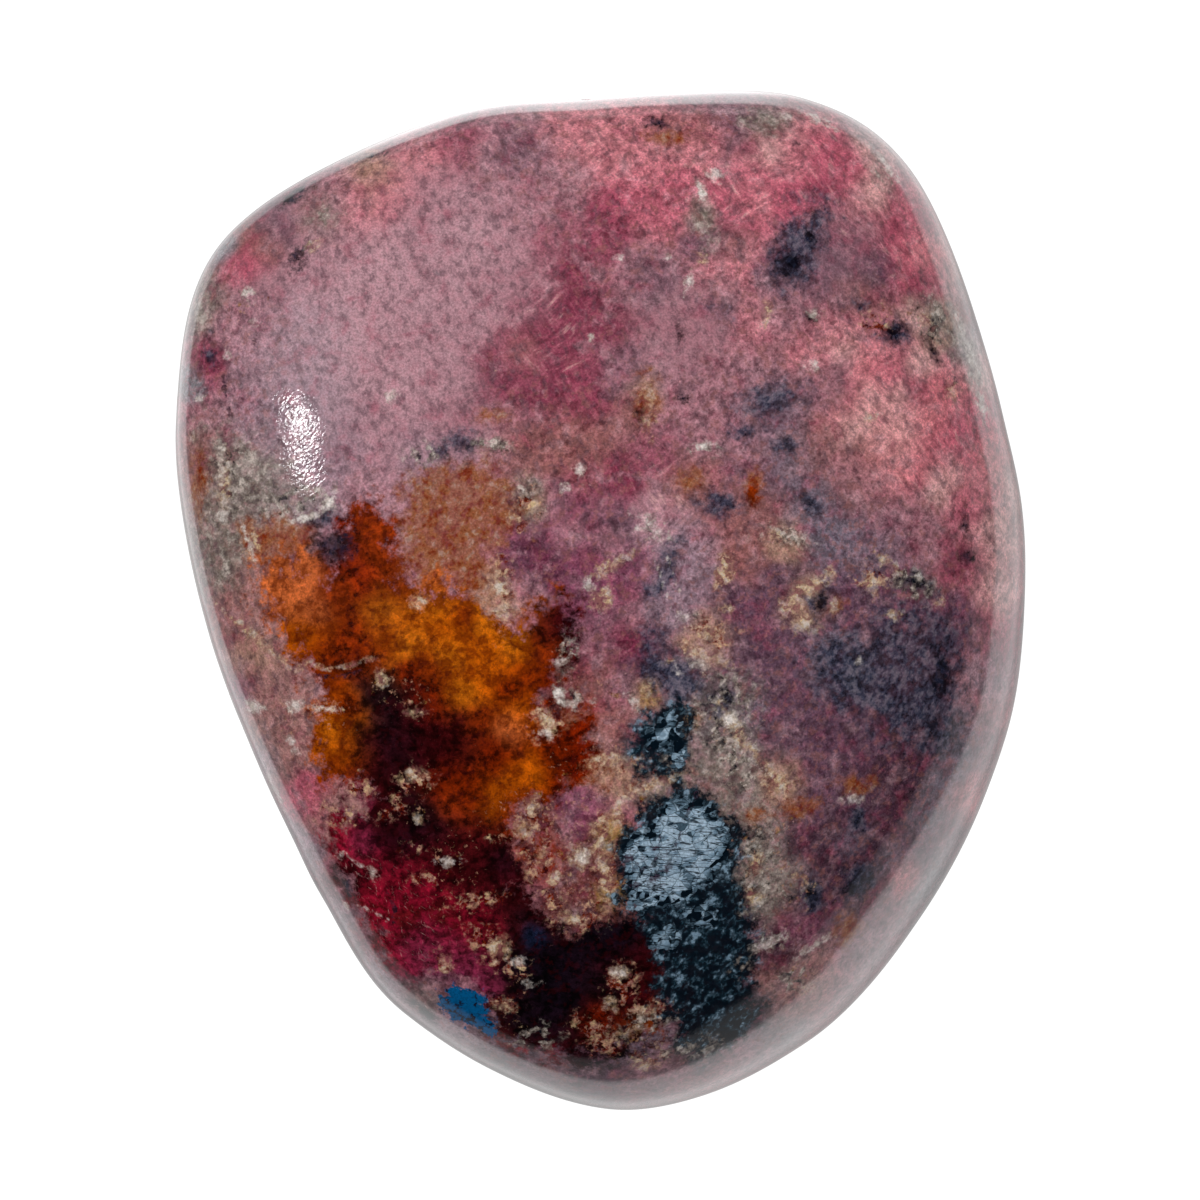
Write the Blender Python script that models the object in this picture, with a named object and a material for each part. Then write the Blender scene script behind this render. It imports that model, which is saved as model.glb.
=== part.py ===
"""Polished rhodonite freeform: one palm stone that lies on the small flat ground on its back.

The stone is a single solid. Its polished face looks up along +Z, its long side runs along +Y, and
the origin is on the resting plane under the middle of the stone.
"""

import math

import bmesh
import bpy
import numpy as np

MM = 0.001

# Driving dimensions, in millimetres. The outline is a smooth closed curve through points that go
# counter-clockwise round the stone, as seen from above: closer where it bends, wide where it runs.
THICKNESS = 40.0
OUTLINE_POINTS = ((33.8, 12.3), (25.1, 35.9), (16.7, 41.3), (-1.4, 41.3), (-12.9, 39.7),
                  (-31.3, 29.2), (-34.9, 14.8), (-32.2, -2.8), (-25.0, -20.2), (-22.8, -24.5),
                  (-16.4, -33.7), (1.5, -41.9), (17.0, -36.4), (26.6, -25.7), (33.1, -12.0),
                  (34.9, -0.6))
OUTLINE_STEPS = 24

# Stations of the profile: evenly spaced over the full turn, counter-clockwise from +X.
GIRDLE_HEIGHTS = (19.0, 21.5, 25.0, 26.0, 25.0, 22.0, 18.0, 15.5)

# Fullness is the exponent of the profile: 2 is an ellipse, and higher values are squarer.
FACE_FULLNESS = (2.9, 3.0, 4.3, 4.6, 5.2, 5.0, 3.2, 2.5)
BACK_FULLNESS = (2.5, 2.6, 2.8, 2.7, 2.6, 2.5, 2.4, 2.5)
FACE_MIDDLE_FULLNESS = 3.4
BACK_MIDDLE_FULLNESS = 2.2

# The face is a shallow dome: how far it falls per square millimetre along X and along Y.
DOME_FALL_X = 0.0036
DOME_FALL_Y = 0.0024
DOME_TOP = (-2.0, 1.0)

# The lowest point of the back lies a little off the middle, and the foot is ground off there.
BACK_LOW_POINT = (1.5, 2.5)
FOOT_GRIND = 0.6

# Broad worn flats on the back: compass angle, tilt below the horizon, and depth of stone lost.
BACK_FLATS = ((24.0, 52.0, 1.3), (96.0, 41.0, 1.6), (168.0, 57.0, 1.3), (238.0, 46.0, 1.2),
              (318.0, 60.0, 1.0))
FLAT_BLEND = 0.8

SPHERE_SUBDIVISIONS = 5
CUTTER_WIDTH = 120.0

STONE_COLOUR = (0.33, 0.09, 0.12, 1.0)
STONE_ROUGHNESS = 0.22
STONE_METALLIC = 0.0


def around(stations, angles):
    """Value at each angle of the smooth periodic curve through evenly spaced stations."""
    count = len(stations)
    waves = np.fft.rfft(stations) / count
    waves[1:] *= 2
    if count % 2 == 0:
        waves[-1] /= 2
    orders = np.arange(len(waves))
    return (waves * np.exp(1j * np.multiply.outer(angles, orders))).real.sum(axis=-1)


def outline_radius(angles):
    """Distance from the middle to the outline at each angle: a closed Catmull-Rom curve."""
    points = np.array(OUTLINE_POINTS)
    steps = np.linspace(0.0, 1.0, OUTLINE_STEPS, endpoint=False)[:, None]
    traced = []
    for index in range(len(points)):
        before, start, end, after = (points[(index + shift) % len(points)] for shift in (-1, 0, 1, 2))
        gap_in, gap, gap_out = (math.sqrt(math.dist(one, two))
                                for one, two in ((before, start), (start, end), (end, after)))
        run = end - start
        leave = run + gap * ((start - before) / gap_in - (end - before) / (gap_in + gap))
        arrive = run + gap * ((after - end) / gap_out - (after - start) / (gap + gap_out))
        traced.append(start + leave * steps + (3.0 * run - 2.0 * leave - arrive) * steps ** 2
                      + (leave + arrive - 2.0 * run) * steps ** 3)
    x, y = np.concatenate(traced).T
    return np.interp(angles, np.arctan2(y, x), np.hypot(x, y), period=2.0 * math.pi)


def pebble_points(directions):
    """Move unit directions onto the stone before its worn flats, in millimetres."""
    across = np.hypot(directions[:, 0], directions[:, 1])
    up = directions[:, 2]
    angles = np.arctan2(directions[:, 1], directions[:, 0])
    on_face = up >= 0

    rim_fullness = np.where(on_face, around(FACE_FULLNESS, angles), around(BACK_FULLNESS, angles))
    middle_fullness = np.where(on_face, FACE_MIDDLE_FULLNESS, BACK_MIDDLE_FULLNESS)
    fullness = middle_fullness + (rim_fullness - middle_fullness) * across ** 2
    scale = (across ** fullness + np.abs(up) ** fullness) ** (1 / fullness)
    outward = across / scale
    rise = np.abs(up) / scale

    radius = outline_radius(angles) * outward
    x = radius * np.cos(angles)
    y = radius * np.sin(angles)
    dome = (THICKNESS - DOME_FALL_X * (x - DOME_TOP[0]) ** 2
            - DOME_FALL_Y * (y - DOME_TOP[1]) ** 2)
    girdle = around(GIRDLE_HEIGHTS, angles)
    z = np.where(on_face, girdle + (dome - girdle) * rise, girdle - (girdle + FOOT_GRIND) * rise)

    # Only the back leans towards its low point, so the outline stays where it is.
    lean = np.where(on_face, 0.0, rise ** 2)
    return np.column_stack((x + BACK_LOW_POINT[0] * lean, y + BACK_LOW_POINT[1] * lean, z))


def wear_flat(points, compass, tilt, depth):
    """Press points back onto one broad flat, with a soft edge around it."""
    level = math.cos(math.radians(tilt))
    normal = np.array((math.cos(math.radians(compass)) * level,
                       math.sin(math.radians(compass)) * level,
                       -math.sin(math.radians(tilt))))
    reach = points @ normal
    beyond = reach - (reach.max() - depth)
    lost = FLAT_BLEND * np.logaddexp(0.0, beyond / FLAT_BLEND)
    return points - np.outer(lost, normal)


def collection_named(name):
    """Make a collection in the scene."""
    collection = bpy.data.collections.new(name)
    bpy.context.scene.collection.children.link(collection)
    return collection


def stone_material():
    """Polished rose stone."""
    material = bpy.data.materials.new("rhodonite")
    material.use_nodes = True
    shader = material.node_tree.nodes["Principled BSDF"]
    shader.inputs["Base Color"].default_value = STONE_COLOUR
    shader.inputs["Roughness"].default_value = STONE_ROUGHNESS
    shader.inputs["Metallic"].default_value = STONE_METALLIC
    return material


def make_foot_cutter(collection):
    """Block below the resting plane, as wide as the stone, that grinds the foot flat."""
    width = CUTTER_WIDTH * MM
    mesh = bpy.data.meshes.new("foot_cutter")
    block = bmesh.new()
    bmesh.ops.create_cube(block, size=width)
    bmesh.ops.translate(block, verts=block.verts, vec=(0.0, 0.0, -width / 2))
    block.to_mesh(mesh)
    block.free()
    cutter = bpy.data.objects.new("foot_cutter", mesh)
    cutter.hide_render = True
    cutter.display_type = "WIRE"
    collection.objects.link(cutter)
    return cutter


def make_stone(collection, foot_cutter):
    """The whole stone, from a sphere that is pushed out to the outline and worn."""
    mesh = bpy.data.meshes.new("rhodonite_stone")
    ball = bmesh.new()
    bmesh.ops.create_icosphere(ball, subdivisions=SPHERE_SUBDIVISIONS, radius=1.0)
    directions = np.array([vert.co.normalized() for vert in ball.verts])
    points = pebble_points(directions)
    for compass, tilt, depth in BACK_FLATS:
        points = wear_flat(points, compass, tilt, depth)
    for vert, point in zip(ball.verts, points * MM):
        vert.co = point
    ball.to_mesh(mesh)
    ball.free()
    mesh.shade_smooth()
    mesh.materials.append(stone_material())

    stone = bpy.data.objects.new("rhodonite_stone", mesh)
    collection.objects.link(stone)
    grind = stone.modifiers.new("ground_foot", "BOOLEAN")
    grind.operation = "DIFFERENCE"
    grind.solver = "EXACT"
    grind.object = foot_cutter
    return stone


def main():
    """Clear the scene and model the stone."""
    for old in list(bpy.data.objects):
        bpy.data.objects.remove(old)
    parts = collection_named("rhodonite_freeform")
    cutters = collection_named("cutters")
    make_stone(parts, make_foot_cutter(cutters))


main()
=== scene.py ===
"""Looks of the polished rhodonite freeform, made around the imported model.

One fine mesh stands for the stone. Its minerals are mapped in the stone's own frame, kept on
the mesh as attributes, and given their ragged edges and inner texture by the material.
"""

import logging
import math
from collections.abc import Sequence
from dataclasses import dataclass, field
from enum import Enum

import bmesh
import bpy
import numpy as np
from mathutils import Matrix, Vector, noise


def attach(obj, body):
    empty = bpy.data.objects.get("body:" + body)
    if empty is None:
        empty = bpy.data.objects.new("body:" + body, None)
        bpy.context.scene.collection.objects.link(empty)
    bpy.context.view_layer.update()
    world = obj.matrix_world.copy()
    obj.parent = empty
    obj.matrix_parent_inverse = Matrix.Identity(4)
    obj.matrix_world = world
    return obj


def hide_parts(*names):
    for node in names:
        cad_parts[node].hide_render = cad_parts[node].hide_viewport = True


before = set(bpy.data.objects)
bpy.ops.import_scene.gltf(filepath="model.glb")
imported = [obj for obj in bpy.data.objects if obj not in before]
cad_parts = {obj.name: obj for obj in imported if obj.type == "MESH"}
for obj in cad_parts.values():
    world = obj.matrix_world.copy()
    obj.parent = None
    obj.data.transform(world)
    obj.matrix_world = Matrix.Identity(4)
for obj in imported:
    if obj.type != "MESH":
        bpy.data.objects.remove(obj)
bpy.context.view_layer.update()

MM = 0.001
NODE = "rhodonite_stone"
MAP_LIMIT = 4.0
LOG = logging.getLogger("rhodonite")

Colour = tuple[float, float, float, float]
Wire = bpy.types.NodeSocket | float | tuple[float, ...]


def ink(red: int, green: int, blue: int) -> Colour:
    """Turn a screen colour, 0 to 255, into the linear colour that Blender's sockets take.

    Args:
        red, green, blue: the colour as a picture editor names it.

    Returns:
        The linear colour with full alpha.
    """
    linear = [((part / 255 + 0.055) / 1.055) ** 2.4 if part > 10 else part / 255 / 12.92
              for part in (red, green, blue)]
    return (*linear, 1.0)


class Hue(Enum):
    """Colours of the stone's ground and minerals, and the grey of its painted rim reflection."""

    ROSE = ink(168, 108, 118)
    MAUVE = ink(172, 126, 136)
    PALE_MAUVE = ink(188, 148, 156)
    LILAC_GREY_AND_REFLECTION = ink(150, 124, 136)
    CRIMSON = ink(142, 60, 82)
    WINE = ink(112, 34, 60)
    CORAL = ink(206, 128, 136)
    PINK_RED = ink(190, 92, 112)
    SALMON = ink(216, 128, 134)
    BLUSH = ink(222, 172, 168)
    BROWN_ROSE = ink(144, 91, 88)
    DUSK = ink(159, 111, 121)
    DIM_DUSK = ink(124, 90, 103)
    PLUM = ink(90, 64, 82)
    DARK_PLUM = ink(56, 34, 50)
    MAGENTA = ink(126, 66, 90)
    DUSTY_PINK = ink(158, 116, 110)
    BLOOD = ink(120, 12, 34)
    OLIVE_GREY = ink(126, 114, 104)
    REFLECTION_GREY = ink(128, 126, 132)
    TAN = ink(172, 134, 112)
    COPPER = ink(158, 98, 62)
    SLATE = ink(60, 64, 84)
    SLATE_BLACK = ink(26, 28, 42)
    STORM = ink(92, 80, 78)
    SMOKE = ink(108, 101, 115)
    UMBER = ink(92, 46, 40)
    QUARTZ = ink(150, 140, 132)
    EMBER = ink(196, 98, 48)
    ORANGE = ink(186, 86, 5)
    AMBER = ink(182, 96, 12)
    BURNT = ink(126, 40, 3)
    RUST = ink(96, 20, 1)
    OCHRE = ink(148, 84, 50)
    OCHRE_YELLOW = ink(160, 124, 62)
    MAROON = ink(52, 5, 10)
    BLACK = ink(8, 6, 15)
    TEAL = ink(22, 46, 58)
    DARK_TEAL = ink(6, 18, 28)
    STEEL = ink(122, 148, 168)
    PALE_STEEL = ink(168, 190, 208)
    SLATE_STEEL = ink(64, 84, 98)
    AZURE = ink(3, 88, 140)
    NAVY = ink(20, 28, 50)
    CREAM = ink(210, 180, 138)
    PEACH = ink(200, 148, 120)
    BONE = ink(204, 190, 180)
    WHITE = ink(236, 226, 220)


class Mineral(Enum):
    """Minerals mapped on the stone; each value is the attribute that holds its map."""

    QUARTZ = "quartz"
    OCHRE = "ochre"
    SLATE = "slate"
    ORE = "ore_body"
    TEAL = "teal"
    WARM_CRUMBS = "warm_crumbs"
    GREY_CRUMBS = "grey_crumbs"
    PLATE = "plate"
    AZURE = "azure"
    LENS = "lens"
    CREAM = "cream"
    WHITE = "white"
    CRACK = "crack"


class Texture(Enum):
    """Fine textures that are strong in some places; each value is the attribute that says where."""

    PEPPER = "pepper"
    FIBRES = "fibres"
    THREADS = "threads"
    SPARKS = "sparks"
    BRUSH = "brush"


Spot = tuple[float, ...]

# Broad colours of the ground, with spots of painted rim reflection: middle in millimetres and how far the
# colour reaches.
GROUND_TINTS: dict[Hue, tuple[Spot, ...]] = {
    Hue.MAUVE: (
        (-30, 24, 1.4), (-20, 22, 5), (-13, 27, 5), (-16, 15, 4), (-8, 33, 3.5), (-11, 21, 4),
        (-18.8, 8.8, 1.6), (4, 7, 1.4), (-14, 33, 3), (-9, 25, 3), (-26, 21, 2), (5.6, 19, 1.2),
        (-21, 29, 2)),
    Hue.PALE_MAUVE: (
        (-13, 25.5, 3), (-20, 24, 3), (-17, 18, 2.4), (-11, 31, 1.6), (-23, 20, 2), (-18, 28, 2)),
    # Partly painted reflection: the lilac-grey spots that sit on the outline of the face paint the pale rim
    # band seen in the polish; the others are stone colour.
    Hue.LILAC_GREY_AND_REFLECTION: (
        (-25.4, 20.4, 1.8), (-24, 17, 1.6), (-25, 18, 2.4), (-25, 22, 1.8), (-22.5, 13, 1.8),
        (-26.5, 14, 1.6), (-23, 10, 1.6), (5.4, 3.4, 1.6), (4.8, 1.2, 1.2), (-14.5, 11.6, 1.4),
        (-26, 9, 1.4), (6.2, -0.6, 1), (23.4, -28.4, 1.8), (12, -37.4, 1.6), (-12.4, -36, 1),
        (-18.6, -31, 0.9), (-22, -26, 0.9), (-24.8, -20, 0.9), (-27.8, -13, 0.7), (32.6, -6, 1.2)),
    Hue.CORAL: (
        (3.5, 36.4, 2.4), (7.4, 36, 1.6), (10.4, 27.2, 1.4), (15.5, 37.4, 1.6), (12.4, 22.4, 1.2),
        (21.4, 20.8, 1.4), (-14.5, 36, 1.2), (-19.2, 31.7, 1.4), (21, 32, 1.4), (12.5, 33, 1), (31.2, 4, 1),
        (31.4, 9, 1), (-17, 33.4, 1), (24, 20.6, 1), (-1, 37.6, 1.6), (8.3, 37.9, 0.8), (13.4, 36.4, 1),
        (18.6, 21, 1)),
    Hue.PINK_RED: (
        (-24, -16.2, 0.9), (-29.4, 27.4, 0.8), (17.6, 34.2, 1.4), (13.4, 34.4, 1.2), (20.6, 35, 1),
        (25, 29.6, 1.8), (26.5, 27, 1.4), (25, 31.5, 1.2), (6, 33.6, 1.2), (2.4, 33.4, 1.2),
        (11, 31.8, 1.2), (26, 17.8, 1.4), (27.5, 12.6, 1.8), (23.2, 18, 1.2), (29.8, 8.6, 1.2),
        (30.4, 13.4, 1.2), (15.6, 32.8, 0.8), (18.6, 36.6, 0.8), (29.6, 15.4, 1)),
    Hue.CRIMSON: (
        (-1, 29.6, 1.6), (-3.2, 25.6, 2), (-3.6, 22, 2), (-2.4, 19, 1.8), (-5.6, 19.6, 1.8),
        (-32, 19.6, 0.7), (-12, 37.4, 1.2), (0.2, 32, 1), (4.4, 11.8, 1), (29.8, 3.6, 0.8),
        (-1.5, 16.6, 1.2), (26.6, 25.6, 0.7), (0.4, 9.6, 1.2), (25.4, 17, 0.7), (18.4, 33.6, 0.7),
        (-7.6, 20.8, 1)),
    Hue.WINE: (
        (-7.8, 17.8, 1.2), (-4.8, 21.6, 1), (-2.5, 24.4, 1), (1, 22.8, 0.9), (-2, 27.6, 0.8),
        (-8.9, 19.4, 0.7), (2.4, -2.8, 1), (-1, -4.8, 0.8), (-5, 16.8, 0.8), (-4.8, 3, 0.5), (1.6, 10, 0.7)),
    Hue.SALMON: (
        (20.4, 15.4, 1.4), (26.4, 28.6, 1), (16.6, 19.6, 1.2), (24, 15, 2.2), (25.6, 11.6, 1.6),
        (28.6, 17, 1.2), (22.6, 12.8, 1.4), (21.6, 19.4, 1.2), (30.4, -16.4, 1), (25, -22.4, 0.7),
        (32, 12, 1), (27, 14.6, 1)),
    Hue.BLUSH: (
        (24.4, 14.4, 1.4), (20.4, 13.6, 0.9), (27.6, 8.6, 0.6), (29, 28, 1.2), (31, 19.6, 0.9),
        (22.8, 37.2, 1), (32.8, 4.8, 1.3), (33, 1, 1), (33.4, 9, 1), (23.6, 13.6, 1.3), (22.4, 16.4, 0.9),
        (28.4, 10, 0.9), (21, 14.4, 0.7), (26.4, 19.4, 0.7), (19.8, 20.4, 0.8), (24.6, 16.8, 0.6),
        (26, 23, 0.6), (22, 33.4, 0.7), (13.6, 36.8, 0.6)),
    Hue.DUSK: (
        (5, 24, 2.6), (7.6, 18.4, 2.6), (13.2, 18.6, 1.8), (16.4, 20.4, 1.8), (5, 12.6, 1.6), (10, 14, 2),
        (9.4, 25, 1.2), (9, 20.6, 1.6), (-23, 31.4, 1.2), (26.4, 6.4, 1.6), (22, 8.6, 1.4),
        (-5.8, 26.6, 0.8), (14, 23.6, 1.2), (18.6, 17, 1.2), (-27.6, 24.6, 1.2), (-2.6, 5.8, 0.8),
        (-4.4, 7.6, 0.8), (0.6, 5.2, 0.7), (-0.4, -2.6, 0.9), (2.6, -0.8, 0.8), (-6.4, 1.2, 0.7),
        (20, 10.6, 1), (-11, 16, 1), (-3, 33, 1.2), (12, 12.4, 0.9), (2, -7, 0.8)),
    Hue.DIM_DUSK: (
        (19.8, 28, 2.2), (21.4, 26.4, 1.2), (14, 16, 1.6), (12, 39, 1.8), (-6.8, 36.8, 1), (10, 29.6, 1),
        (1.8, 17.8, 1.6), (12.4, 11, 1.4), (19.4, 19, 0.8), (9.8, 23.8, 0.7), (28.6, -19, 1.6),
        (5, -39.6, 1.6), (-5, -39, 1.2), (30.8, -12, 1.4), (22.6, 5, 1.4), (-26.8, 31, 1), (0.6, 7.6, 1),
        (4.4, 25.8, 1), (8.2, 29.4, 0.7), (20.6, 30.8, 1.2), (13.8, 26.6, 0.8), (16.6, 17.4, 1)),
    Hue.BROWN_ROSE: (
        (-1, 12.6, 1.6), (2.6, 15.4, 1), (20, 10, 1.6), (7.4, 9.6, 1.2), (-5, 13, 1.6), (-0.6, -5.8, 0.9),
        (18, 13, 1.4), (5.5, 38, 0.7), (10.3, 29.4, 0.8), (-28.6, 29.6, 1.2), (13, 7, 1.2), (12, 3.6, 1),
        (-33, 11, 0.9), (21, 12.4, 0.8), (-6.4, 20.6, 0.8), (21.4, 25.2, 0.9), (8, 38.4, 0.7),
        (0.4, -9.8, 1), (-31.4, -2.2, 1)),
    Hue.PLUM: (
        (14.6, -8, 2), (12.4, -1.5, 2.2), (14, -7, 2.6), (14.6, -10.6, 2.4), (20, -12, 2.4), (17.4, -18, 2),
        (24, -12.6, 2), (11, -5, 1.4), (21.6, -18.6, 2), (20.6, 0.4, 1.4), (23.4, 0.6, 1.2),
        (22.6, 26.9, 0.7), (-0.6, -39.6, 1.2), (25.8, -20.6, 1), (29, -1.6, 1), (17.4, -21.4, 1.6),
        (3.8, -6, 1.6), (14, 0.6, 1.4), (19.8, -25.6, 1.2), (1.4, 6, 0.9)),
    Hue.DARK_PLUM: (
        (24.2, -14, 1), (20.6, -23.6, 1), (18.6, -19, 0.7), (16, -20, 0.8), (19.6, -21.6, 0.8),
        (21.3, -22.8, 1.4), (25.5, -15, 1.6), (26.4, -10.6, 1), (17.3, -24, 1), (18, -21.4, 0.8),
        (15, -28.8, 0.9), (22, -20.6, 1), (-5.6, 3.8, 0.8), (-4.4, 2.6, 0.7), (15.6, -20.4, 0.8),
        (30, 3.6, 0.5), (24.4, -17.4, 0.9), (24, -14, 1.3), (11.6, -27.4, 0.8)),
    Hue.MAGENTA: (
        (-5.6, 5.6, 1.4), (-1.6, 4.4, 1.8), (1.6, 1, 1), (-2.6, -17.6, 0.9), (3, 2.2, 0.9),
        (-5.2, 3.2, 0.8), (16, -26.8, 1.1), (-8.5, -31, 0.8), (-3.4, 7.4, 1.2), (0, -1.6, 1),
        (-29.6, -7, 0.6), (-2.6, 1.6, 1.2), (-14.6, -31.4, 0.8)),
    Hue.DUSTY_PINK: (
        (-28.4, -3.4, 1.6), (-26.5, -9.5, 1.8), (-26, -12, 1.4), (-0.4, -11.6, 0.6), (16, -31.6, 1.6),
        (-28.8, -6, 1), (-22, -17.4, 1), (-30.4, 32, 0.6), (-28.8, 0.6, 1), (-27.4, -10.6, 0.8)),
    Hue.OLIVE_GREY: (
        (8, -8.5, 2), (11.5, -17, 1.6), (12.8, -22, 1.8), (11, -12, 1.8), (5, -15, 1), (14.6, -24, 1.2),
        (-32.6, 24.6, 1), (-28, 10, 2.2), (-31.6, 4.4, 1.8), (13.8, 39, 1), (-22.8, 31.4, 0.9),
        (8.2, 31.4, 0.6), (-6, 7.8, 1), (-14.6, -31.8, 0.7), (27, 23, 1.2)),
    Hue.TAN: (
        (-18.2, 35, 1.1), (-8.2, 0.6, 0.8), (8.8, -3, 1), (27.6, 22.6, 1), (16.4, 0, 0.9),
        (-28.4, -4.4, 0.9), (14.6, -15, 0.9), (1.6, -13.6, 0.8), (15, 5, 0.8), (3.6, 17, 0.8)),
    Hue.QUARTZ: (
        (13.6, -21, 1.7), (14, -24, 1.3), (14.4, -21.6, 1.4), (-28, 9.4, 1.8), (9.4, -10, 1),
        (12.4, -16.4, 1)),
    # Painted reflection: grey spots on the outline of the face, for the pale rim band seen in the polish.
    Hue.REFLECTION_GREY: (
        (27, -23, 1.2), (15.4, -36, 1.2), (-33.6, 18, 0.5), (-31, 29, 0.6), (30.2, 20.4, 0.9)),
    Hue.TEAL: (
        (12.2, -34, 1.2), (8, -37, 1.2), (10.4, -33, 1.4), (3, -12, 0.9), (9.6, -26, 1.6), (6, -30, 2)),
    Hue.SMOKE: (
        (28.8, -12, 1.4), (27.4, -14.6, 0.8), (26.6, -17.6, 0.8), (24, -21.4, 0.7), (17, 7.5, 1.8),
        (15.6, 12.5, 1.8), (14, 16.6, 1.2), (21.8, 4, 1.5), (19, 6, 1.2), (18.6, -5, 1.4), (9, -10, 1),
        (6.5, -7, 1.2), (20.4, -19.6, 0.9), (12, -9, 0.9), (3, -35.4, 1), (-6.2, -35.8, 1.2),
        (29, -12, 1.2)),
    Hue.BURNT: (
        (-4.8, -20.4, 1), (-3.4, -13.6, 0.6), (-1.4, -9, 0.6)),
    Hue.OCHRE_YELLOW: (
        (0.8, -24, 0.6), (0.6, -19.4, 0.6), (3.6, -7.4, 0.6), (7.4, -9.6, 0.5), (-5.6, 7.8, 0.5)),
    Hue.UMBER: (
        (-1.6, -25, 1.2), (0.8, -21.4, 0.8), (-2.8, -9.4, 0.8), (-2.4, -6.6, 0.7), (-4.6, -17.6, 0.8),
        (1.8, -26.4, 1), (3.4, -29.4, 1.2), (2.4, -32.6, 1), (-0.6, -20, 0.6)),
}

# Broad colours inside the orange and the dark minerals.
ORE_TINTS: dict[Hue, tuple[Spot, ...]] = {
    Hue.EMBER: (
        (-26.2, 2.2, 1), (-25, 1, 1.1), (-26.6, 0, 0.8), (-24.6, 2.8, 0.8), (-14, 2.6, 1.2),
        (-23.6, -0.6, 0.7), (-7.6, -10.6, 0.7)),
    Hue.ORANGE: (
        (-24.4, -2.4, 1.4), (-16.6, -2.4, 1.8), (-13, -1.6, 1.8), (-8.4, -3.6, 2.2), (-10.6, -5.6, 1.6),
        (-22.4, -9.4, 1.4), (-22, -12, 1.2), (-5.8, -13.8, 1), (-8.2, -15.8, 0.9), (-6.8, -9.6, 1)),
    Hue.AMBER: (
        (-17.6, -0.6, 0.9), (-15.6, -3.4, 0.8), (-12.4, -4.6, 0.7), (-22.4, -10.6, 0.7), (-9.4, -1.6, 0.7),
        (-11.6, -7.2, 0.6), (-14.2, -0.6, 0.7), (-7.2, -3.4, 0.7)),
    Hue.BURNT: (
        (-18.6, 5.4, 1.8), (-17.4, 3, 1.6), (-22.8, -3.4, 1.4), (-18.8, 0.8, 1.6), (-6.2, -7.4, 1.4),
        (-17.6, 7, 1), (-6.6, -16.8, 1.2), (-21.4, -14, 1), (-5, -11, 1.2), (-22, 0.6, 1), (-5.4, -4.8, 1),
        (-11.4, -16.4, 1.2), (-22.6, -7, 0.8), (-9.6, -10.4, 0.8), (-9.8, -13.8, 1.4), (-6, -6, 1),
        (-14.2, -5.4, 0.8), (-16.6, 0.6, 0.7), (-23.6, -10.8, 0.6), (-11, -1.4, 0.5), (-4.6, -3.6, 0.8)),
    Hue.RUST: (
        (-20.4, -3, 1.5), (-20.6, 3, 1.1), (-4.4, -6.6, 1), (-3.6, -13.6, 1), (-4.6, -17.2, 1),
        (-13.4, -8, 1), (-19.6, 1.6, 0.8), (-12.6, -14.6, 1), (-2.8, -10.4, 0.9), (-21.4, 6.2, 0.8),
        (-12.6, -6, 0.8), (-18.6, -3.6, 1), (-10.4, -15.2, 0.8), (-7.4, -12.2, 0.8), (-9, -12.6, 0.7),
        (-3.4, -8, 0.8), (-15.6, -5.8, 0.5), (-0.4, -34.6, 0.9), (-7.6, -7.4, 0.6), (-21, -8.6, 0.5),
        (-4.4, -12, 0.7), (-1.4, -12.4, 0.8)),
    Hue.MAROON: (
        (-14, -10, 1.8), (-13, -12.6, 1.6), (-11, -11.4, 1.2), (-19.5, -13, 1.4), (-15.4, -21, 1.6),
        (-10, -19.4, 1.8), (-9, -23, 1.8), (2.6, -29.8, 1.2), (-18, -17, 1.2), (3.4, -31.8, 1),
        (-3.6, -24.6, 1), (-3.6, -2.6, 1.1), (-7, -22.6, 1.2), (-12, -22, 1.4), (-20.6, -22.6, 0.7),
        (-4.4, -2, 1), (-2.6, -1.2, 0.8), (-3, -5.4, 0.9)),
    Hue.BLACK: (
        (-18.4, -7, 1.4), (-17.6, -11.6, 1.8), (-14.6, -17.8, 1.6), (-17, -19.6, 1.2), (-3, -27.6, 2.4),
        (-2, -30.6, 2.6), (-6, -33, 1.8), (-7.8, -21.6, 0.9), (0.6, -27, 1.4), (-5, -30, 1.6),
        (-1, -37.2, 1.6), (-3.8, -33.8, 1.2), (3, -37.6, 0.8), (-14.4, -33.8, 0.7), (1.6, -28, 1)),
    Hue.NAVY: (
        (-12.6, -31.6, 0.8), (-5.4, -27.4, 0.4)),
    Hue.BLOOD: (
        (-18.4, -23.6, 2), (-19.4, -20.6, 1.1), (-16.4, -25.6, 2), (-17.4, -29.4, 1.4), (-13, -26.4, 1.4),
        (-21.6, -19, 1), (-10.6, -26.6, 1.4), (-15, -23.8, 0.9)),
    Hue.WINE: (
        (-14.4, -28.4, 1.2), (-19.4, -19.8, 0.7), (-11.6, -29.6, 1), (-9.6, -31, 0.7), (-20.4, -16.2, 0.7),
        (-16.6, -30.8, 0.7)),
}

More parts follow.
